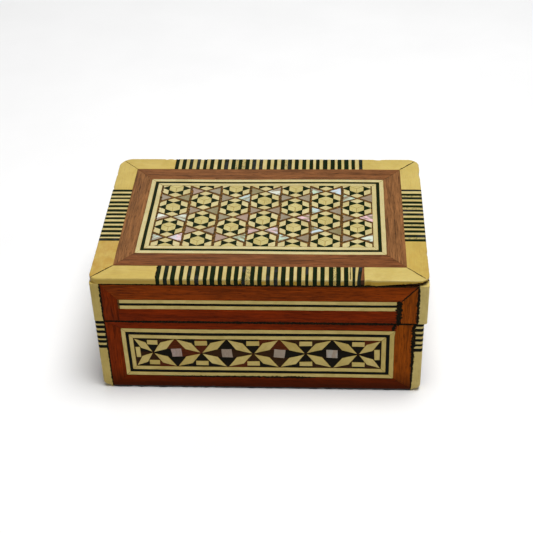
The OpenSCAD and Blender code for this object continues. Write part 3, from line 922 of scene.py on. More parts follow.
BONE = bone_material("bone", (0.53, 0.42, 0.135), (0.48, 0.34, 0.068))
PALE_BONE = bone_material("pale_bone", (0.56, 0.49, 0.25), (0.48, 0.4, 0.17))
HEXAGON_BONE = bone_material("hexagon_bone", (0.52, 0.45, 0.185), (0.44, 0.36, 0.12))
# Painted light: a brighter, more saturated copy of the bone for the upright faces, which get less
# light than the top.
LIT_SIDE_BONE = bone_material("side_bone", (0.63, 0.5, 0.17), (0.46, 0.33, 0.065))
STRIPE_BONE = bone_material("stripe_bone", (0.54, 0.45, 0.195), (0.45, 0.35, 0.11), fleck=0.8)
BLACK_WOOD = black_wood_material("black_wood", (0.002, 0.004, 0.001), (0.01, 0.021, 0.004))
# Painted shade: a darker copy of the black wood for the upright faces.
SHADED_SIDE_BLACK = black_wood_material("side_black", (0.001, 0.001, 0.001), (0.004, 0.006, 0.002))
STRIPE_BLACK = black_wood_material("stripe_black", (0.002, 0.005, 0.001), (0.008, 0.019, 0.003), 0.7)
MAHOGANY = mahogany_material("mahogany", 0.06, 0.14, (0.16, 0.055, 0.018), (0.205, 0.09, 0.031))
# Painted shade: a redder, more saturated copy of the mahogany for the upright faces, set against the
# greyer top.
SHADED_SIDE_MAHOGANY = mahogany_material(
    "side_mahogany", 0.02, 0.05, (0.165, 0.016, 0.001), (0.265, 0.06, 0.003)
)
PEARL = pearl_material(
    "pearl",
    [
        (0.2, 0.145, 0.07),
        (0.25, 0.215, 0.15),
        (0.21, 0.15, 0.08),
        (0.31, 0.28, 0.22),
        (0.24, 0.17, 0.1),
        (0.31, 0.21, 0.155),
        (0.24, 0.21, 0.13),
        (0.2, 0.165, 0.07),
    ],
    sheen_flares=0.95,
)
DULL_PEARL = pearl_material(
    "dull_pearl", [(0.22, 0.13, 0.08), (0.33, 0.26, 0.19), (0.23, 0.14, 0.09)], sheen_flares=0.2
)
GLUE = glue_material()
FILLER = filler_material()
CHIPS = chip_material()
CARCASS = carcass_material()
BRASS = brass_material()
VELVET = velvet_material("velvet", (0.1, 0.004, 0.01), (0.27, 0.014, 0.028))
FELT = felt_material()


# ---- Inlay of the lid's top ----

inlay_t = thickness_of("lid_top_veneer")
border_t = thickness_of("border_bone_corners")

# How much the pieces of the mosaic are larger than their places, at least and at most.
PEARL_GROWTH = (0.0, 0.4 * MM)
TRIANGLE_GROWTH = (0.1 * MM, 0.16 * MM)
LOZENGE_GROWTH = (-0.1 * MM, -0.03 * MM)
TRIANGLE_LIFT = 0.04 * MM

# The break below the border's front right corner: where it starts, how it grows, and its depth.
BREAK_FROM = 19 * MM
BREAK_RUN = 18 * MM
BREAK_WIDTH = 4 * MM
BREAK_DEPTH = 2 * MM

# The wood behind the border, and the gap beside its last front stripe, which shows that wood.
CORE_MARGIN = 1.2 * MM
CORE_DEPTH = 0.4 * MM
CORE_FOOT = 0.05 * MM
GAP_X = (STRIPED_X - 1.9 * MM, STRIPED_X + 0.4 * MM)
GAP_INSET = 0.35 * MM
GAP_DEPTH = 0.12 * MM

# Where the bevels along the seam begin, at the back of the box.
SEAM_BEVEL = 1.7 * MM

# The bed of glue under the joints, and the least and greatest width of the glue between strips.
BED_MARGIN = 0.2 * MM
BED_T = 0.8 * MM
TOP_BED_DEPTH = 0.12 * MM
SIDE_BED_DEPTH = 0.2 * MM
STRIP_GLUE = (0.35 * MM, 0.95 * MM)
STRIP_GLUE_LIFT = 0.06 * MM


def lay_top(node, name, material, slot, seed, thickness=inlay_t, tone_of=None, grow=None, **how):
    """Lays every solid of a CAD node again, as a piece of the lid's top."""
    made = Inlay(name, seed)
    for solid in solids(node):
        points = outline(solid, TOP)
        if grow:
            points = inset(points, [-made.random.uniform(*grow) for _ in points])
        tone = tone_of(middle(points)) if tone_of else None
        made.slab(TOP, points, thickness, tone=tone, **how)
    made.finish("lid", material, slot, [node])


def shared_tone(flat):
    """One tone for the three thirds of a hexagon."""
    return 0.5 + 0.9 * noise.noise(Vector((flat.x, flat.y, 0)) / (7 * MM))


def broken_foot(flat):
    """The border's lower edge is broken off towards the front right corner."""
    near = within((flat.x - TOP.x1 + BREAK_FROM) / BREAK_RUN)
    front = flat.y < TOP.y0 + BREAK_WIDTH
    return near * front * BREAK_DEPTH * (0.9 + 0.35 * noise.noise(Vector((flat.x / MM, 0, 0))))


def corner_tone(place):
    """The bone at the left end of the box is yellower, and darker at the back right corner."""
    if place.x < 0:
        return 0.85
    return 0.1 if place.y < 0 else 0.45


def border_tone(place):
    """The front pieces of the border's ends are blotchy, where hands have held the lid."""
    if place.y < 0 and TOP.x1 - abs(place.x) < TOP.y1 - abs(place.y):
        return 1.6 if place.x < 0 else 1.25
    return corner_tone(place)


def frame_tone(place):
    """The front piece of the lid's frame is redder than the back one and the ends."""
    if abs(place.x) > abs(place.y):
        return 0.8
    return 0.35 if place.y > 0 else 0


lay_top("lid_top_veneer", "top_frame", MAHOGANY, "mahogany", 2, tone_of=frame_tone)
lay_top("lid_bone_strings", "top_bone_strings", PALE_BONE, "bone", 3)
lay_top("lid_black_string", "top_black_string", BLACK_WOOD, "black_wood", 4)
lay_top("mosaic_hexagons", "star_hexagons", HEXAGON_BONE, "bone", 5, tone_of=shared_tone)
lay_top("mosaic_lozenges", "star_lozenges", PALE_BONE, "bone", 7, grow=LOZENGE_GROWTH)
lay_top("mosaic_pearl", "pearl_triangles", PEARL, "pearl", 8, grow=PEARL_GROWTH)
triangles = {"grow": TRIANGLE_GROWTH, "lift": TRIANGLE_LIFT}
lay_top("mosaic_triangles", "star_triangles", BLACK_WOOD, "black_wood", 6, **triangles)
corners = {"thickness": border_t, "move": joint_drift, "worn": broken_foot, "tone_of": border_tone}
lay_top("border_bone_corners", "border_corners", BONE, "bone", 9, **corners)
stripes = {"thickness": border_t, "move": stripe_drift}
lay_top("border_black_stripes", "border_black", STRIPE_BLACK, "black_wood", 10, **stripes)
lay_top("border_bone_stripes", "border_bone", STRIPE_BONE, "bone", 11, **stripes)


def border_core():
    """The wood behind the border's bone, bare at the broken corner and beside the last stripe."""
    made = Inlay("border_core", 12)
    for solid in solids("border_bone_corners"):
        points = outline(solid, TOP)
        hidden = inset(points, [CORE_MARGIN] * len(points))
        core_t = border_t - CORE_DEPTH - CORE_FOOT
        made.slab(TOP, hidden, core_t, lift=-CORE_DEPTH, tone=1, move=stay)
    low = TOP.y0 + GAP_INSET
    gap = rectangle(GAP_X[0], low, GAP_X[1], low + border_w - 0.5 * MM)
    made.slab(TOP, gap, border_t - CORE_DEPTH, lift=-GAP_DEPTH, move=joint_drift)
    made.finish("lid", MAHOGANY, "mahogany", [])


def glued_area(panel, margin):
    """The panel less a margin, and less the bevels along the seam at the back of the box."""
    x0, y0, x1, y1 = panel.x0 + margin, panel.y0 + margin, panel.x1 - margin, panel.y1 - margin
    if panel is BASE["back"]:
        y1 = panel.y1 - SEAM_BEVEL
    if panel is LID["back"]:
        y0 = panel.y0 + SEAM_BEVEL
    return x0, y0, x1, y1


def without_corners(points, cut):
    """The outline with its corners cut off."""
    cut_points = []
    for before, corner, after in zip(points[-1:] + points, points, points[1:] + points[:1]):
        cut_points += [corner + (end - corner).normalized() * cut for end in (before, after)]
    return cut_points


def glue_bed(name, panel, depth, body, nodes, seed):
    """The glue that shows in the joints, a little below the surface."""
    area = rectangle(*glued_area(panel, panel.edge_round + BED_MARGIN))
    if panel.corner:
        area = without_corners(area, panel.corner)
    bed = Inlay(name, seed)
    bed.slab(panel, area, BED_T, lift=-depth)
    bed.finish(body, GLUE, "mosaic_glue", nodes)


def strip_glue():
    """Glue squeezed out where the mosaic's strips meet, along the pearls' upright edges."""
    joints = []
    for solid in solids("mosaic_pearl"):
        points = outline(solid, TOP)
        sides = zip(points, points[1:])
        upright = [(a.x + b.x) / 2 for a, b in sides if abs(a.x - b.x) < 0.1 * MM]
        joints += [x for x in upright if all(abs(x - other) > MM for other in joints)]
    y0, y1 = TOP.field[1], TOP.field[3]
    made = Inlay("strip_glue", 14)
    for x in sorted(joints):
        widths = [made.random.uniform(*STRIP_GLUE) for _ in range(2)]
        made.ribbon(TOP, (x, y0), (x, y1), widths, lift=STRIP_GLUE_LIFT)
    made.finish("lid", GLUE, "mosaic_glue", [])


border_core()
glue_bed("top_glue", TOP, TOP_BED_DEPTH, "lid", ["mosaic_ground"], 13)
strip_glue()


# ---- Inlay of the upright faces ----


# The band of the front reaches less than this far to either side.
BAND_REACH = 55 * MM

# How far the front string of the lid ends before its place, left and right.
STRING_START = 0.6 * MM
STRING_GAP = 1.7 * MM

# How askew and how much too small the pearls of the bands are cut.
ASKEW = 5
CUT_SIZE = (0.88, 0.97)


def lay_sides(nodes, name, material, slot, seed, body, reshape=None, tone_of=None, **how):
    """Lays the solids of some CAD nodes again, on the faces of the box that they lie in."""
    made = Inlay(name, seed)
    panels = BASE if body == "base" else LID
    for node in nodes:
        for solid in solids(node):
            panel = panels[side_of(solid, panels)]
            points = outline(solid, panel)
            if reshape:
                points = reshape(points, made.random)
            tone = tone_of(panel, middle(points)) if tone_of else None
            made.slab(panel, points, inlay_t, tone=tone, **how)
    made.finish(body, material, slot, nodes)


def veneer_light_tone(panel, centre):
    """Painted light: the stiles at the right are lighter and more orange than the others, as light
    falls from the right, and so is the upper half of the lid.
    """
    across = (centre.x - panel.x0) / (panel.x1 - panel.x0)
    if across > 0.9:
        return 0.85
    if across < 0.1:
        return 0.12
    upper = centre.y > (panel.y0 + panel.y1) / 2
    return 0.4 if upper and panel in LID.values() else 0.05


def pearl_tone(panel, centre):
    """The pearls of a band are brown at its left end and palest right of its middle."""
    return 0.5 * (centre.x - panel.x0) / (panel.x1 - panel.x0)


def butted(points, draw):
    """At the front of the base, the right stile runs up past the end of the upper rail."""
    corner = Vector((BASE["front"].x1, BASE["front"].y1))
    if min((p - corner).length for p in points) > 0.1 * MM:
        return points
    inner = sorted(points, key=lambda p: (p - corner).length)[1]
    is_rail = middle(points).x < inner.x
    changed = corner if is_rail else inner
    end = Vector((inner.x, corner.y))
    return [end if (p - changed).length < 0.1 * MM else p for p in points]


def loosely_cut(points, draw):
    """A small piece cut a little askew, and smaller than its place."""
    turn = Matrix.Rotation(math.radians(draw.uniform(-ASKEW, ASKEW)), 2)
    centre = middle(points)
    return [centre + turn @ (p - centre) * draw.uniform(*CUT_SIZE) for p in points]


def front_corners(node):
    """The corners of a node's solids that show on the front of the box, in flat coordinates."""
    corners = [v.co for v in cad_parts[node].data.vertices]
    front = min(c.y for c in corners) + inlay_t * 1.1
    return [BASE["front"].flat(c) for c in corners if c.y < front and abs(c.x) < BAND_REACH]


lid_string = front_corners("lid_side_black_string")
string_end = max(c.x for c in lid_string)


def short_string(panel, flat):
    """The front string of the lid ends before it reaches the frame."""
    if panel is LID["front"]:
        x = within(flat.x, STRING_START - string_end, string_end - STRING_GAP)
        flat = Vector((x, flat.y))
    return drift(panel, flat)


FLAT_SIDES = ("front", "left", "right")
for body in ("base", "lid"):
    veneers = [f"{body}_{side}_veneer" for side in FLAT_SIDES]
    wood = (SHADED_SIDE_MAHOGANY, "mahogany", 21, body)
    cut = butted if body == "base" else None
    lay_sides(veneers, f"{body}_veneer", *wood, reshape=cut, tone_of=veneer_light_tone)
lay_sides(["base_bone_strings"], "base_bone_lines", LIT_SIDE_BONE, "bone", 23, "base")
lay_sides(["base_black_strings"], "base_black_lines", SHADED_SIDE_BLACK, "black_wood", 24, "base")
star_bones = [f"base_{side}_star_bone" for side in SIDES]
lay_sides(star_bones, "band_bone", LIT_SIDE_BONE, "bone", 25, "base")
star_pearls = [f"base_{side}_star_pearl" for side in SIDES]
pearls = (DULL_PEARL, "pearl", 26, "base")
lay_sides(star_pearls, "band_pearl", *pearls, reshape=loosely_cut, tone_of=pearl_tone)
ivory = (LIT_SIDE_BONE, "bone", 27, "lid")
lay_sides(["lid_side_bone_strings"], "lid_bone_lines", *ivory, move=short_string)
ebony = (SHADED_SIDE_BLACK, "black_wood", 28, "lid")
lay_sides(["lid_side_black_string"], "lid_black_line", *ebony, move=short_string)


# ---- Posts and back frames ----

POST_CORNER = 1.05 * MM
POST_ROUND = 0.15 * MM
FOOT_LEVEL = 0.1 * MM
FOOT_HEIGHT = 2.8 * MM
FOOT_DEPTH = 1.9 * MM
FOOT_STEPS = 6

# How the slices of a striped post stray, and the zone below the seam where none moves up.
POST_STRIPES = 6
SLICE = MM
SLICE_DRIFT = 0.5 * MM
SLICE_DRIFT_LENGTH = 1.7 * MM
SLICE_GAIN = 0.15 * MM
SEAM_ZONE = 2 * MM

striped_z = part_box("base_post_bone_stripes")[0].z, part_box("base_post_black_stripes")[1].z
post_pitch = (striped_z[1] - striped_z[0]) / POST_STRIPES


def copy_solids(node, name, material, slot, body, seed, bevel=JOINT_ROUND, shape=None, **how):
    """Pieces that keep every face of their CAD solids, with softened edges."""
    made = Inlay(name, seed)
    for solid in solids(node):
        made.copy(solid, **how)
    if shape:
        shape(made.mesh)
    made.finish(body, material, slot, [node], bevel)


def footprint():
    """The outline of the base, as x and y of its front left and back right corners."""
    sides = {side: panel.level for side, panel in BASE.items()}
    return -sides["left"], -sides["front"], sides["right"], sides["back"]


def round_feet(mesh):
    """Stands the base's posts on the floor, and wears their feet round at the box's corners."""
    x0, y0, x1, y1 = footprint()
    low = min(v.co.z for v in mesh.verts) + 0.01 * MM
    for vertex in mesh.verts:
        if vertex.co.z < low:
            vertex.co.z = FOOT_LEVEL
    for i in range(1, FOOT_STEPS + 1):
        level = FOOT_LEVEL + FOOT_HEIGHT * (1 - math.cos(math.pi / 2 * i / FOOT_STEPS))
        everything = mesh.verts[:] + mesh.edges[:] + mesh.faces[:]
        bmesh.ops.bisect_plane(mesh, geom=everything, plane_co=UP * level, plane_no=UP)
    for vertex in mesh.verts:
        x, y, z = vertex.co
        room = max(min(x - x0, x1 - x), min(y - y0, y1 - y))
        up = max(0, (z - FOOT_LEVEL) / FOOT_HEIGHT)
        if room < POST_CORNER and up < 1:
            worn = FOOT_DEPTH * (1 - math.sqrt(1 - (1 - up) ** 2))
            vertex.co -= Vector((math.copysign(worn, x), math.copysign(worn, y), 0))


def worn_top(c):
    """The tops of the lid's posts are worn round together with the border above them."""
    if c.z > TOP.level - border_t - MM:
        return TOP.place(worn_round(TOP, TOP.flat(c)), c.z)
    return c.copy()


def drift_on(panel):
    return lambda c: panel.place(drift(panel, panel.flat(c)), c.dot(panel.out))


def post_drift(c):
    """The black slices of a striped post are thick, and no two of the slices are the same.

    Nothing moves up near the seam, where the lid swings past.
    """
    fade = within(min(c.z - striped_z[0], striped_z[1] - c.z) / MM)
    wave = noise.noise(Vector((c.x > 0, c.y > 0, c.z / SLICE_DRIFT_LENGTH)))
    from_slice = (c.z - striped_z[1] + SLICE / 2) / post_pitch
    thicker = math.sin(2 * math.pi * from_slice)
    shift = fade * (SLICE_DRIFT * wave + SLICE_GAIN * thicker)
    near_seam = c.z > striped_z[1] - SEAM_ZONE
    return c + UP * (min(0, shift) if near_seam else shift)


for i, (body, panels) in enumerate((("base", BASE), ("lid", LID))):
    wood = (SHADED_SIDE_MAHOGANY, "mahogany", body, 31 + i)
    copy_solids(f"{body}_back_veneer", f"{body}_back_frame", *wood, move=drift_on(panels["back"]))
    ivory = (LIT_SIDE_BONE, "bone", body, 33 + i)
    worn = {"shape": round_feet} if body == "base" else {"move": worn_top}
    worn.update(bevel=POST_ROUND, tone_of=corner_tone)
    copy_solids(f"{body}_corner_posts", f"{body}_posts", *ivory, **worn)
ivory = (LIT_SIDE_BONE, "bone", "base", 35)
copy_solids("base_post_bone_stripes", "post_bone", *ivory, move=post_drift)
ebony = (SHADED_SIDE_BLACK, "black_wood", "base", 36)
copy_solids("base_post_black_stripes", "post_black", *ebony, move=post_drift)


# ---- Ground of the star bands ----

# The slips behind a star reach BAR to its left and right. Those round a pearl part at WAIST
# above and below its middle.
CHIP_T = 0.9 * MM
CHIP_DEPTH = 0.05 * MM
BAR = 2 * MM
WAIST = 1.9 * MM


def band_places(side):
    """The stars' and the pearls' places along a band, and the step between two stars."""
    panel = BASE[side]
    pearls = sorted(middle(outline(s, panel)).x for s in solids(f"base_{side}_star_pearl"))
    step = pearls[1] - pearls[0]
    stars = [p - step / 2 for p in pearls] + [pearls[-1] + step / 2]
    return stars, pearls, step


def lay_chips(chips, side):
    """Slips of wood whose joints lie under the bone and the pearl."""
    panel = BASE[side]
    x0, y0, x1, y1 = panel.field
    stars, pearls, step = band_places(side)
    centre = (y0 + y1) / 2
    top = (y1 - y0) / 2
    slope = WAIST / top * step / 2

    def chip(*corners):
        points = anticlockwise([Vector((x, centre + y)) for x, y in corners])
        chips.slab(panel, points, CHIP_T, lift=-CHIP_DEPTH)

    for x in stars:
        left = max(x - step / 2, x0)
        right = min(x + step / 2, x1)
        for y in (-top, top):
            low = y / 4
            chip((x - BAR, low), (x, 0), (x + BAR, low), (x + BAR, y), (x - BAR, y))
            chip((left, y), (x - BAR, y), (x - BAR, low))
            chip((right, y), (x + BAR, y), (x + BAR, low))
    for x in pearls:
        reach = step / 2 - slope
        for way in (-1, 1):
            near = x + way * reach
            end = x + way * step / 2
            chip((x, way * top), (x - reach, way * WAIST), (x + reach, way * WAIST))
            chip((x, -WAIST), (near, -WAIST), (end, 0), (near, WAIST), (x, WAIST))
    for x, end in ((stars[0], x0), (stars[-1], x1)):
        for y in (-top, top):
            chip((x, 0), (end, y), (end, 0))


chips = Inlay("band_chips", 41)
for side in SIDES:
    lay_chips(chips, side)
chips.finish("base", CHIPS, "star_ground", [f"base_{side}_star_ground" for side in SIDES])

for i, side in enumerate(SIDES):
    glue_bed(f"base_{side}_glue", BASE[side], SIDE_BED_DEPTH, "base", [], 50 + i)
    glue_bed(f"lid_{side}_glue", LID[side], SIDE_BED_DEPTH, "lid", [], 60 + i)


# ---- Dark filler and dirt in the joints, and lines of painted shadow ----


# The least and the greatest width of the filler beside a post that the photo doesn't show.
POST_FILLER = (0.25 * MM, 0.9 * MM)

# The widths of the other fillers, at the start and at the end of each.
SEAM_SHADOW_FILLER = (0.5 * MM, 0.6 * MM)
FRONT_FILLERS = {
    "base": ((0.55 * MM, 0.5 * MM), (0.5 * MM, 1.7 * MM)),
    "lid": ((0.5 * MM, 0.7 * MM), (1.3 * MM, 0.7 * MM)),
}
STRING_FILLER = (1.9 * MM, 2.1 * MM)
MITRE_FILLER = (0.5 * MM, 0.4 * MM)
RIM_SHADOW_FILLER = (0.4 * MM, 0.6 * MM)
BAND_SHADOW_FILLER = (0.5 * MM, 0.9 * MM)
RAIL_FILLER = (1.2 * MM, 1.3 * MM)

# How far below the rim or the strings a line of painted shadow lies.
SHADOW_OFFSET = 0.2 * MM

# How far the painted shadow under the band stops short at its left and right end, and how far the
# filler in the gap of the lid's string reaches below the panel and above the string.
BAND_FILLER_SHORT = (16 * MM, 28 * MM)
GAP_FILLER_REACH = (0.8 * MM, 1.9 * MM)

# The mitres of the border: sides in x and y, width, and how far the filler ends from the rim.
MITRES = (
    (1, -1, 0.35 * MM, 1.6 * MM),
    (1, 1, 0.38 * MM, 1.7 * MM),
    (-1, -1, 0.32 * MM, 0.9 * MM),
    (-1, 1, 0.14 * MM, 2.0 * MM),
)
STRIPE_JOINTS = ((-STRIPED_X, 0.5 * MM), (31.5 * MM, 0.25 * MM))


def fill_side(filler, panel, left, right):
    """Filler beside the posts, and painted shadow of the lid's edge along the seam, partly dirt.
    left and right are widths, low and high.
    """
    x0, y0, x1, y1 = glued_area(panel, 0)
    filler.ribbon(panel, (x0, y0), (x0, y1), left)
    filler.ribbon(panel, (x1, y0), (x1, y1), right)
    if panel in (BASE["back"], LID["back"]):
        return
    # Painted shadow: a dark line along the seam on each body, partly dirt in the seam.
    seam = y0 + 0.1 * MM if panel in LID.values() else y1 - 0.3 * MM
    filler.ribbon(panel, (x0, seam), (x1, seam), SEAM_SHADOW_FILLER)


def lid_front_fillers(filler):
    """Filler in the gap of the string and in the mitre to its right, and painted shadow under the
    rim.
    """
    panel = LID["front"]
    end = string_end - STRING_GAP / 2
    low = panel.y0 - GAP_FILLER_REACH[0]
    top = max(c.y for c in lid_string) + GAP_FILLER_REACH[1]
    under = panel.y1 - SHADOW_OFFSET
    filler.ribbon(panel, (end, low), (end, top), STRING_FILLER)
    filler.ribbon(panel, (string_end, top), (panel.x1, panel.y1), MITRE_FILLER)
    # Painted shadow of the border, a little below the rim.
    filler.ribbon(panel, (panel.x0, under), (panel.x1, under), RIM_SHADOW_FILLER)


def base_front_fillers(filler):
    """Painted shadow under the strings of the front band, and filler at the right end of the upper
    rail.
    """
    panel = BASE["front"]
    strings = front_corners("base_bone_strings")
    x0, x1 = min(p.x for p in strings), max(p.x for p in strings)
    y0, y1 = min(p.y for p in strings), max(p.y for p in strings)
    under = y0 - SHADOW_OFFSET
    start, end = x0 + BAND_FILLER_SHORT[0], x1 - BAND_FILLER_SHORT[1]
    # Painted shadow, a little below the lowest string of the band.
    filler.ribbon(panel, (start, under), (end, under), BAND_SHADOW_FILLER)
    filler.ribbon(panel, (x1 - MM, y1 + 0.3 * MM), (x1 - MM, panel.y1), RAIL_FILLER)


def top_fillers(filler):
    """Dark lines in the mitres of the border and in the joints of its front stripes."""
    for sx, sy, width, worn in MITRES:
        inner = (sx * (TOP.x1 - border_w), sy * (TOP.y1 - border_w))
        outer = (sx * (TOP.x1 - worn), sy * (TOP.y1 - worn))
        filler.ribbon(TOP, inner, outer, (width, width), joint_drift)
    for x, width in STRIPE_JOINTS:
        start = (x, TOP.y0 + TOP.edge_round)
        filler.ribbon(TOP, start, (x, TOP.y0 + border_w), (width, width), joint_drift)


fillers = {"base": Inlay("base_filler", 71), "lid": Inlay("lid_filler", 72)}
widths = random.Random(73)
for side in SIDES:
    for body, panels in (("base", BASE), ("lid", LID)):
        if side == "front":
            left, right = FRONT_FILLERS[body]
        else:
            left, right = [[widths.uniform(*POST_FILLER) for _ in range(2)] for _ in range(2)]
        fill_side(fillers[body], panels[side], left, right)
base_front_fillers(fillers["base"])
lid_front_fillers(fillers["lid"])
top_fillers(fillers["lid"])
for body, filler in fillers.items():
    filler.finish(body, FILLER, "mosaic_glue", [])


# ---- Velvet and felt ----

# The cloth simulation of the pads, which works better on a larger model.
SIM_SCALE = 5
SIM_VOXEL = 5 * MM
SIM_FRAMES = 20
PRESSURE = 4
SWELL = 1.1 * MM

PAD_TUCK = 0.35 * MM
PAD_EDGE = 0.5 * MM
PUCKER = 0.1 * MM
PUCKER_LENGTH = 7 * MM
LINING_GAP = 0.1 * MM
LINING_ROWS = 12
LINING_STEP = 2.5 * MM

# The felt: how much larger than the base it is, how its rim strays, and its cut-off corners.
FELT_GROWTH = 0.02 * MM
FELT_STEP = 1.3 * MM
FELT_INSET = 0.12 * MM
FELT_RAGGED = 0.5 * MM
FELT_RAGGED_LENGTH = 2.1 * MM
FELT_REACH = 0.25 * MM
FELT_LIFT = -0.04 * MM
FELT_CORNER_STEPS = 3


def evaluated_copy(piece):
    bpy.context.view_layer.update()
    shown = piece.evaluated_get(bpy.context.evaluated_depsgraph_get())
    return bpy.data.meshes.new_from_object(shown)


def replace_mesh(piece, data):
    piece.modifiers.clear()
    piece.data = data
    shade_smooth(data)


def rounded_slab(low, high, edge):
    mesh = bmesh.new()
    bmesh.ops.create_cube(mesh, size=1)
    for vertex in mesh.verts:
        share = vertex.co + Vector((0.5, 0.5, 0.5))
        vertex.co = Vector([a + t * (b - a) for a, b, t in zip(low, high, share)])
    bmesh.ops.bevel(mesh, geom=mesh.edges[:], offset=edge, segments=3, profile=0.5, affect="EDGES")
    return mesh


def swell(piece, out):
    """Blows the enlarged pad up as cloth, glued where it lies on its board."""
    start = [v.co.copy() for v in piece.data.vertices]
    glued = piece.vertex_groups.new(name="glued")
    glued.add([i for i, place in enumerate(start) if place.dot(out) < 0], 1, "REPLACE")
    cloth = piece.modifiers.new("cloth", "CLOTH")
    cloth.settings.use_pressure = True
    cloth.settings.uniform_pressure_force = PRESSURE
    cloth.settings.vertex_group_mass = glued.name
    cloth.settings.effector_weights.gravity = 0
    cloth.point_cache.frame_start = 1
    cloth.point_cache.frame_end = SIM_FRAMES
    for step in range(1, SIM_FRAMES + 1):
        bpy.context.scene.frame_set(step)
    data = evaluated_copy(piece)
    bpy.context.scene.frame_set(1)
    limit = SWELL * SIM_SCALE
    for place, vertex in zip(start, data.vertices):
        moved = vertex.co - place
        if moved.length > 0:
            vertex.co = place + moved * (limit * math.tanh(moved.length / limit) / moved.length)
    piece.vertex_groups.clear()
    replace_mesh(piece, data)


def velvet_pad(node, name, body, out):
    """A thin pad of velvet over wadding, which fills the floor or the lid between the walls."""
    low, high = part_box(node)
    centre = (low + high) / 2
    tucked = Vector((PAD_TUCK, PAD_TUCK, 0))
    half = ((high - low) / 2 + tucked) * SIM_SCALE
    piece = new_piece(name, rounded_slab(-half, half, PAD_EDGE * SIM_SCALE), VELVET)
    voxels = piece.modifiers.new("voxels", "REMESH")
    voxels.mode = "VOXEL"
    voxels.voxel_size = SIM_VOXEL
    replace_mesh(piece, evaluated_copy(piece))
    swell(piece, out)
    for vertex in piece.data.vertices:
        place = centre + vertex.co / SIM_SCALE
        if vertex.co.dot(out) > 0:
            place += out * PUCKER * noise.noise(place / PUCKER_LENGTH)
        vertex.co = place
    smooth = piece.modifiers.new("smooth", "SUBSURF")
    smooth.levels = 1
    smooth.render_levels = 1
    attach(piece, body, "velvet", [node])


def lining_profile(thickness, depth):
    """Points of the lining's section, as distances from the wall and from its free edge."""
    roll = thickness / 2
    section = [(0, depth)]
    for angle in (0, 0.8, 1.6, 2.4, math.pi):
        section.append((roll - roll * math.cos(angle), roll - roll * math.sin(angle)))
    for i in range(1, LINING_ROWS + 1):
        section.append((thickness, roll + (depth - roll) * i / LINING_ROWS))
    return section


def wall_lining(node, name, body, pad):
    """Velvet over thin card round the walls, rolled over at its free edge."""
    low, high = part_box(node)
    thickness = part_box(pad)[0].x - low.x - LINING_GAP
    free, down = (high.z, -1) if body == "base" else (low.z, 1)
    steps = [round((high[i] - low[i]) / LINING_STEP) for i in (0, 1)] * 2
    rings = []
    mesh = bmesh.new()
    for inward, along in lining_profile(thickness, high.z - low.z):
        corners = rectangle(low.x + inward, low.y + inward, high.x - inward, high.y - inward)
        ring = []
        for (a, b), count in zip(edges_of(corners), steps):
            side = (b - a).normalized()
            for i in range(count):
                flat = a.lerp(b, i / count)
                place = Vector((flat.x, flat.y, free + down * along))
                if inward == thickness:
                    puff = PUCKER * (1 + noise.noise(place / PUCKER_LENGTH))
                    place += Vector((-side.y, side.x, 0)) * puff * min(1, i / 3, (count - i) / 3)
                ring.append(mesh.verts.new(place))
        rings.append(ring)
    for near, far in zip(rings, rings[1:] + rings[:1]):
        for i in range(len(near)):
            j = (i + 1) % len(near)
            mesh.faces.new((near[i], near[j], far[j], far[i]))
    piece = new_piece(name, mesh, VELVET)
    attach(piece, body, "velvet", [node])


def felt_sheet():
    """Felt under the base, cut by hand: its ragged edge shows as a dark line between the posts,
    which stands partly for the shadow under the box.
    """
    under = Panel("underside_felt", -UP, BACKWARD, 30)
    made = Inlay("felt", 81)
    x0, y0, x1, y1 = footprint()
    corners = [under.flat(c.to_3d()) for c in rectangle(x0, y0, x1, y1)]
    corners = inset(anticlockwise(corners), [-FELT_GROWTH] * 4)
    rim = []
    for a, b in edges_of(corners):
        across = Vector((-(b - a).y, (b - a).x)).normalized()
        steps = round((b - a).length / FELT_STEP)
        for i in range(FELT_CORNER_STEPS, steps - FELT_CORNER_STEPS + 1):
            # The ragged rim reaches a little past the base: black felt, and partly painted shadow
            # under the box.
            wave = noise.noise(Vector((a.x, a.y, i * MM)) / FELT_RAGGED_LENGTH)
            ragged = max(-FELT_REACH, FELT_INSET + FELT_RAGGED * wave)
            rim.append(a.lerp(b, i / steps) + across * ragged)
    made.slab(under, rim, thickness_of("underside_felt"), lift=FELT_LIFT, move=stay)
    piece = made.finish("base", FELT, "felt", ["underside_felt"])


velvet_pad("floor_velvet_pad", "floor_pad", "base", UP)
velvet_pad("lid_velvet_pad", "lid_pad", "lid", -UP)
wall_lining("base_wall_lining", "base_lining", "base", "floor_velvet_pad")
wall_lining("lid_wall_lining", "lid_lining", "lid", "lid_velvet_pad")
felt_sheet()


# ---- CAD nodes that keep their shape ----


def give(material, *names):
    for name in names:
        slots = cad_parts[name].material_slots
        if not slots:
            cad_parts[name].data.materials.append(material)
        for slot in slots:
            slot.material = material


HARDWARE_ROUND = 0.08 * MM
BOARDS = [f"{body}_{side}_board" for body in ("base", "lid") for side in SIDES]
give(CARCASS, "base_bottom_board", "lid_top_board", *BOARDS)
LEAVES = ("base_hinge_leaves", "lid_hinge_leaves")
give(BRASS, "base_hinge_nails", "lid_hinge_nails", "hinge_pins", *LEAVES)
for name in (*LEAVES, *BOARDS):
    soften(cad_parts[name], HARDWARE_ROUND)


# ---- Floor, light and camera ----

FLOOR_REACH = 3
BOX_MIDDLE = Vector((0, 0, 0.02))

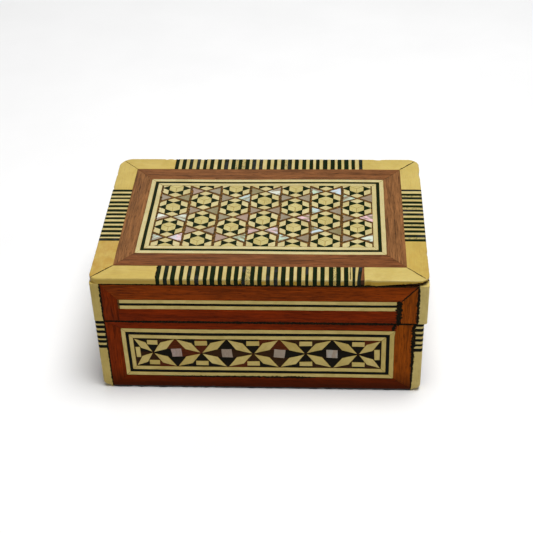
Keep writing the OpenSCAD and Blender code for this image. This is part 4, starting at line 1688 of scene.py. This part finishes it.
# The camera fitted to the photograph.
AZIMUTH = math.radians(4.15)
ELEVATION = math.radians(36.85)
ROLL = math.radians(-2.04)
DISTANCE = 0.458
TARGET = Vector((0.0004, 0, 0.0278))
LENS = 79.6


def floor():
    data = bpy.data.meshes.new("floor")
    corners = rectangle(-FLOOR_REACH, -FLOOR_REACH, FLOOR_REACH, FLOOR_REACH)
    data.from_pydata([c.to_3d() for c in corners], [], [range(4)])
    s = Shader("floor")
    mottle = s.noise(s.object_mm(), 0.02, 3)
    data.materials.append(s.use(s.ramp(mottle, (0.3, 0.86), (0.7, 0.89)), 0.9))
    new_object("floor", data)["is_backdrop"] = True


def soft_light(name, place, size, power):
    data = bpy.data.lights.new(name, "AREA")
    data.shape = "DISK"
    data.size = size
    data.energy = power
    made = new_object(name, data)
    made.location = place
    made.rotation_euler = (BOX_MIDDLE - Vector(place)).to_track_quat("-Z", "Y").to_euler()


def sky(strength):
    world = bpy.data.worlds.new("studio")
    bpy.context.scene.world = world
    world.use_nodes = True
    background = world.node_tree.nodes["Background"]
    background.inputs["Color"].default_value = (1, 1, 1, 1)
    background.inputs["Strength"].default_value = strength


def camera():
    across = math.cos(ELEVATION)
    x, y = math.sin(AZIMUTH) * across, -math.cos(AZIMUTH) * across
    back = Vector((x, y, math.sin(ELEVATION)))
    right = (-back).cross(UP).normalized()
    up = right.cross(-back)
    x_axis = right * math.cos(ROLL) + up * math.sin(ROLL)
    y_axis = up * math.cos(ROLL) - right * math.sin(ROLL)
    data = bpy.data.cameras.new("camera")
    data.sensor_width = 36
    data.lens = LENS
    data.clip_start = 0.01
    made = new_object("camera", data)
    turn = Matrix((x_axis, y_axis, back)).transposed().to_4x4()
    made.matrix_world = Matrix.Translation(TARGET + back * DISTANCE) @ turn
    bpy.context.scene.camera = made


floor()
sky(0.2)
soft_light("key", (0.12, -0.05, 0.9), 0.5, 8.9)
soft_light("back", (-0.2, 0.6, 0.5), 0.4, 0.45)
camera()
bpy.context.scene.view_settings.view_transform = "Standard"

boxes = {"cad": cad_bounds, "visual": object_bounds()}
{name: [list(corner) for corner in box] for name, box in boxes.items()}
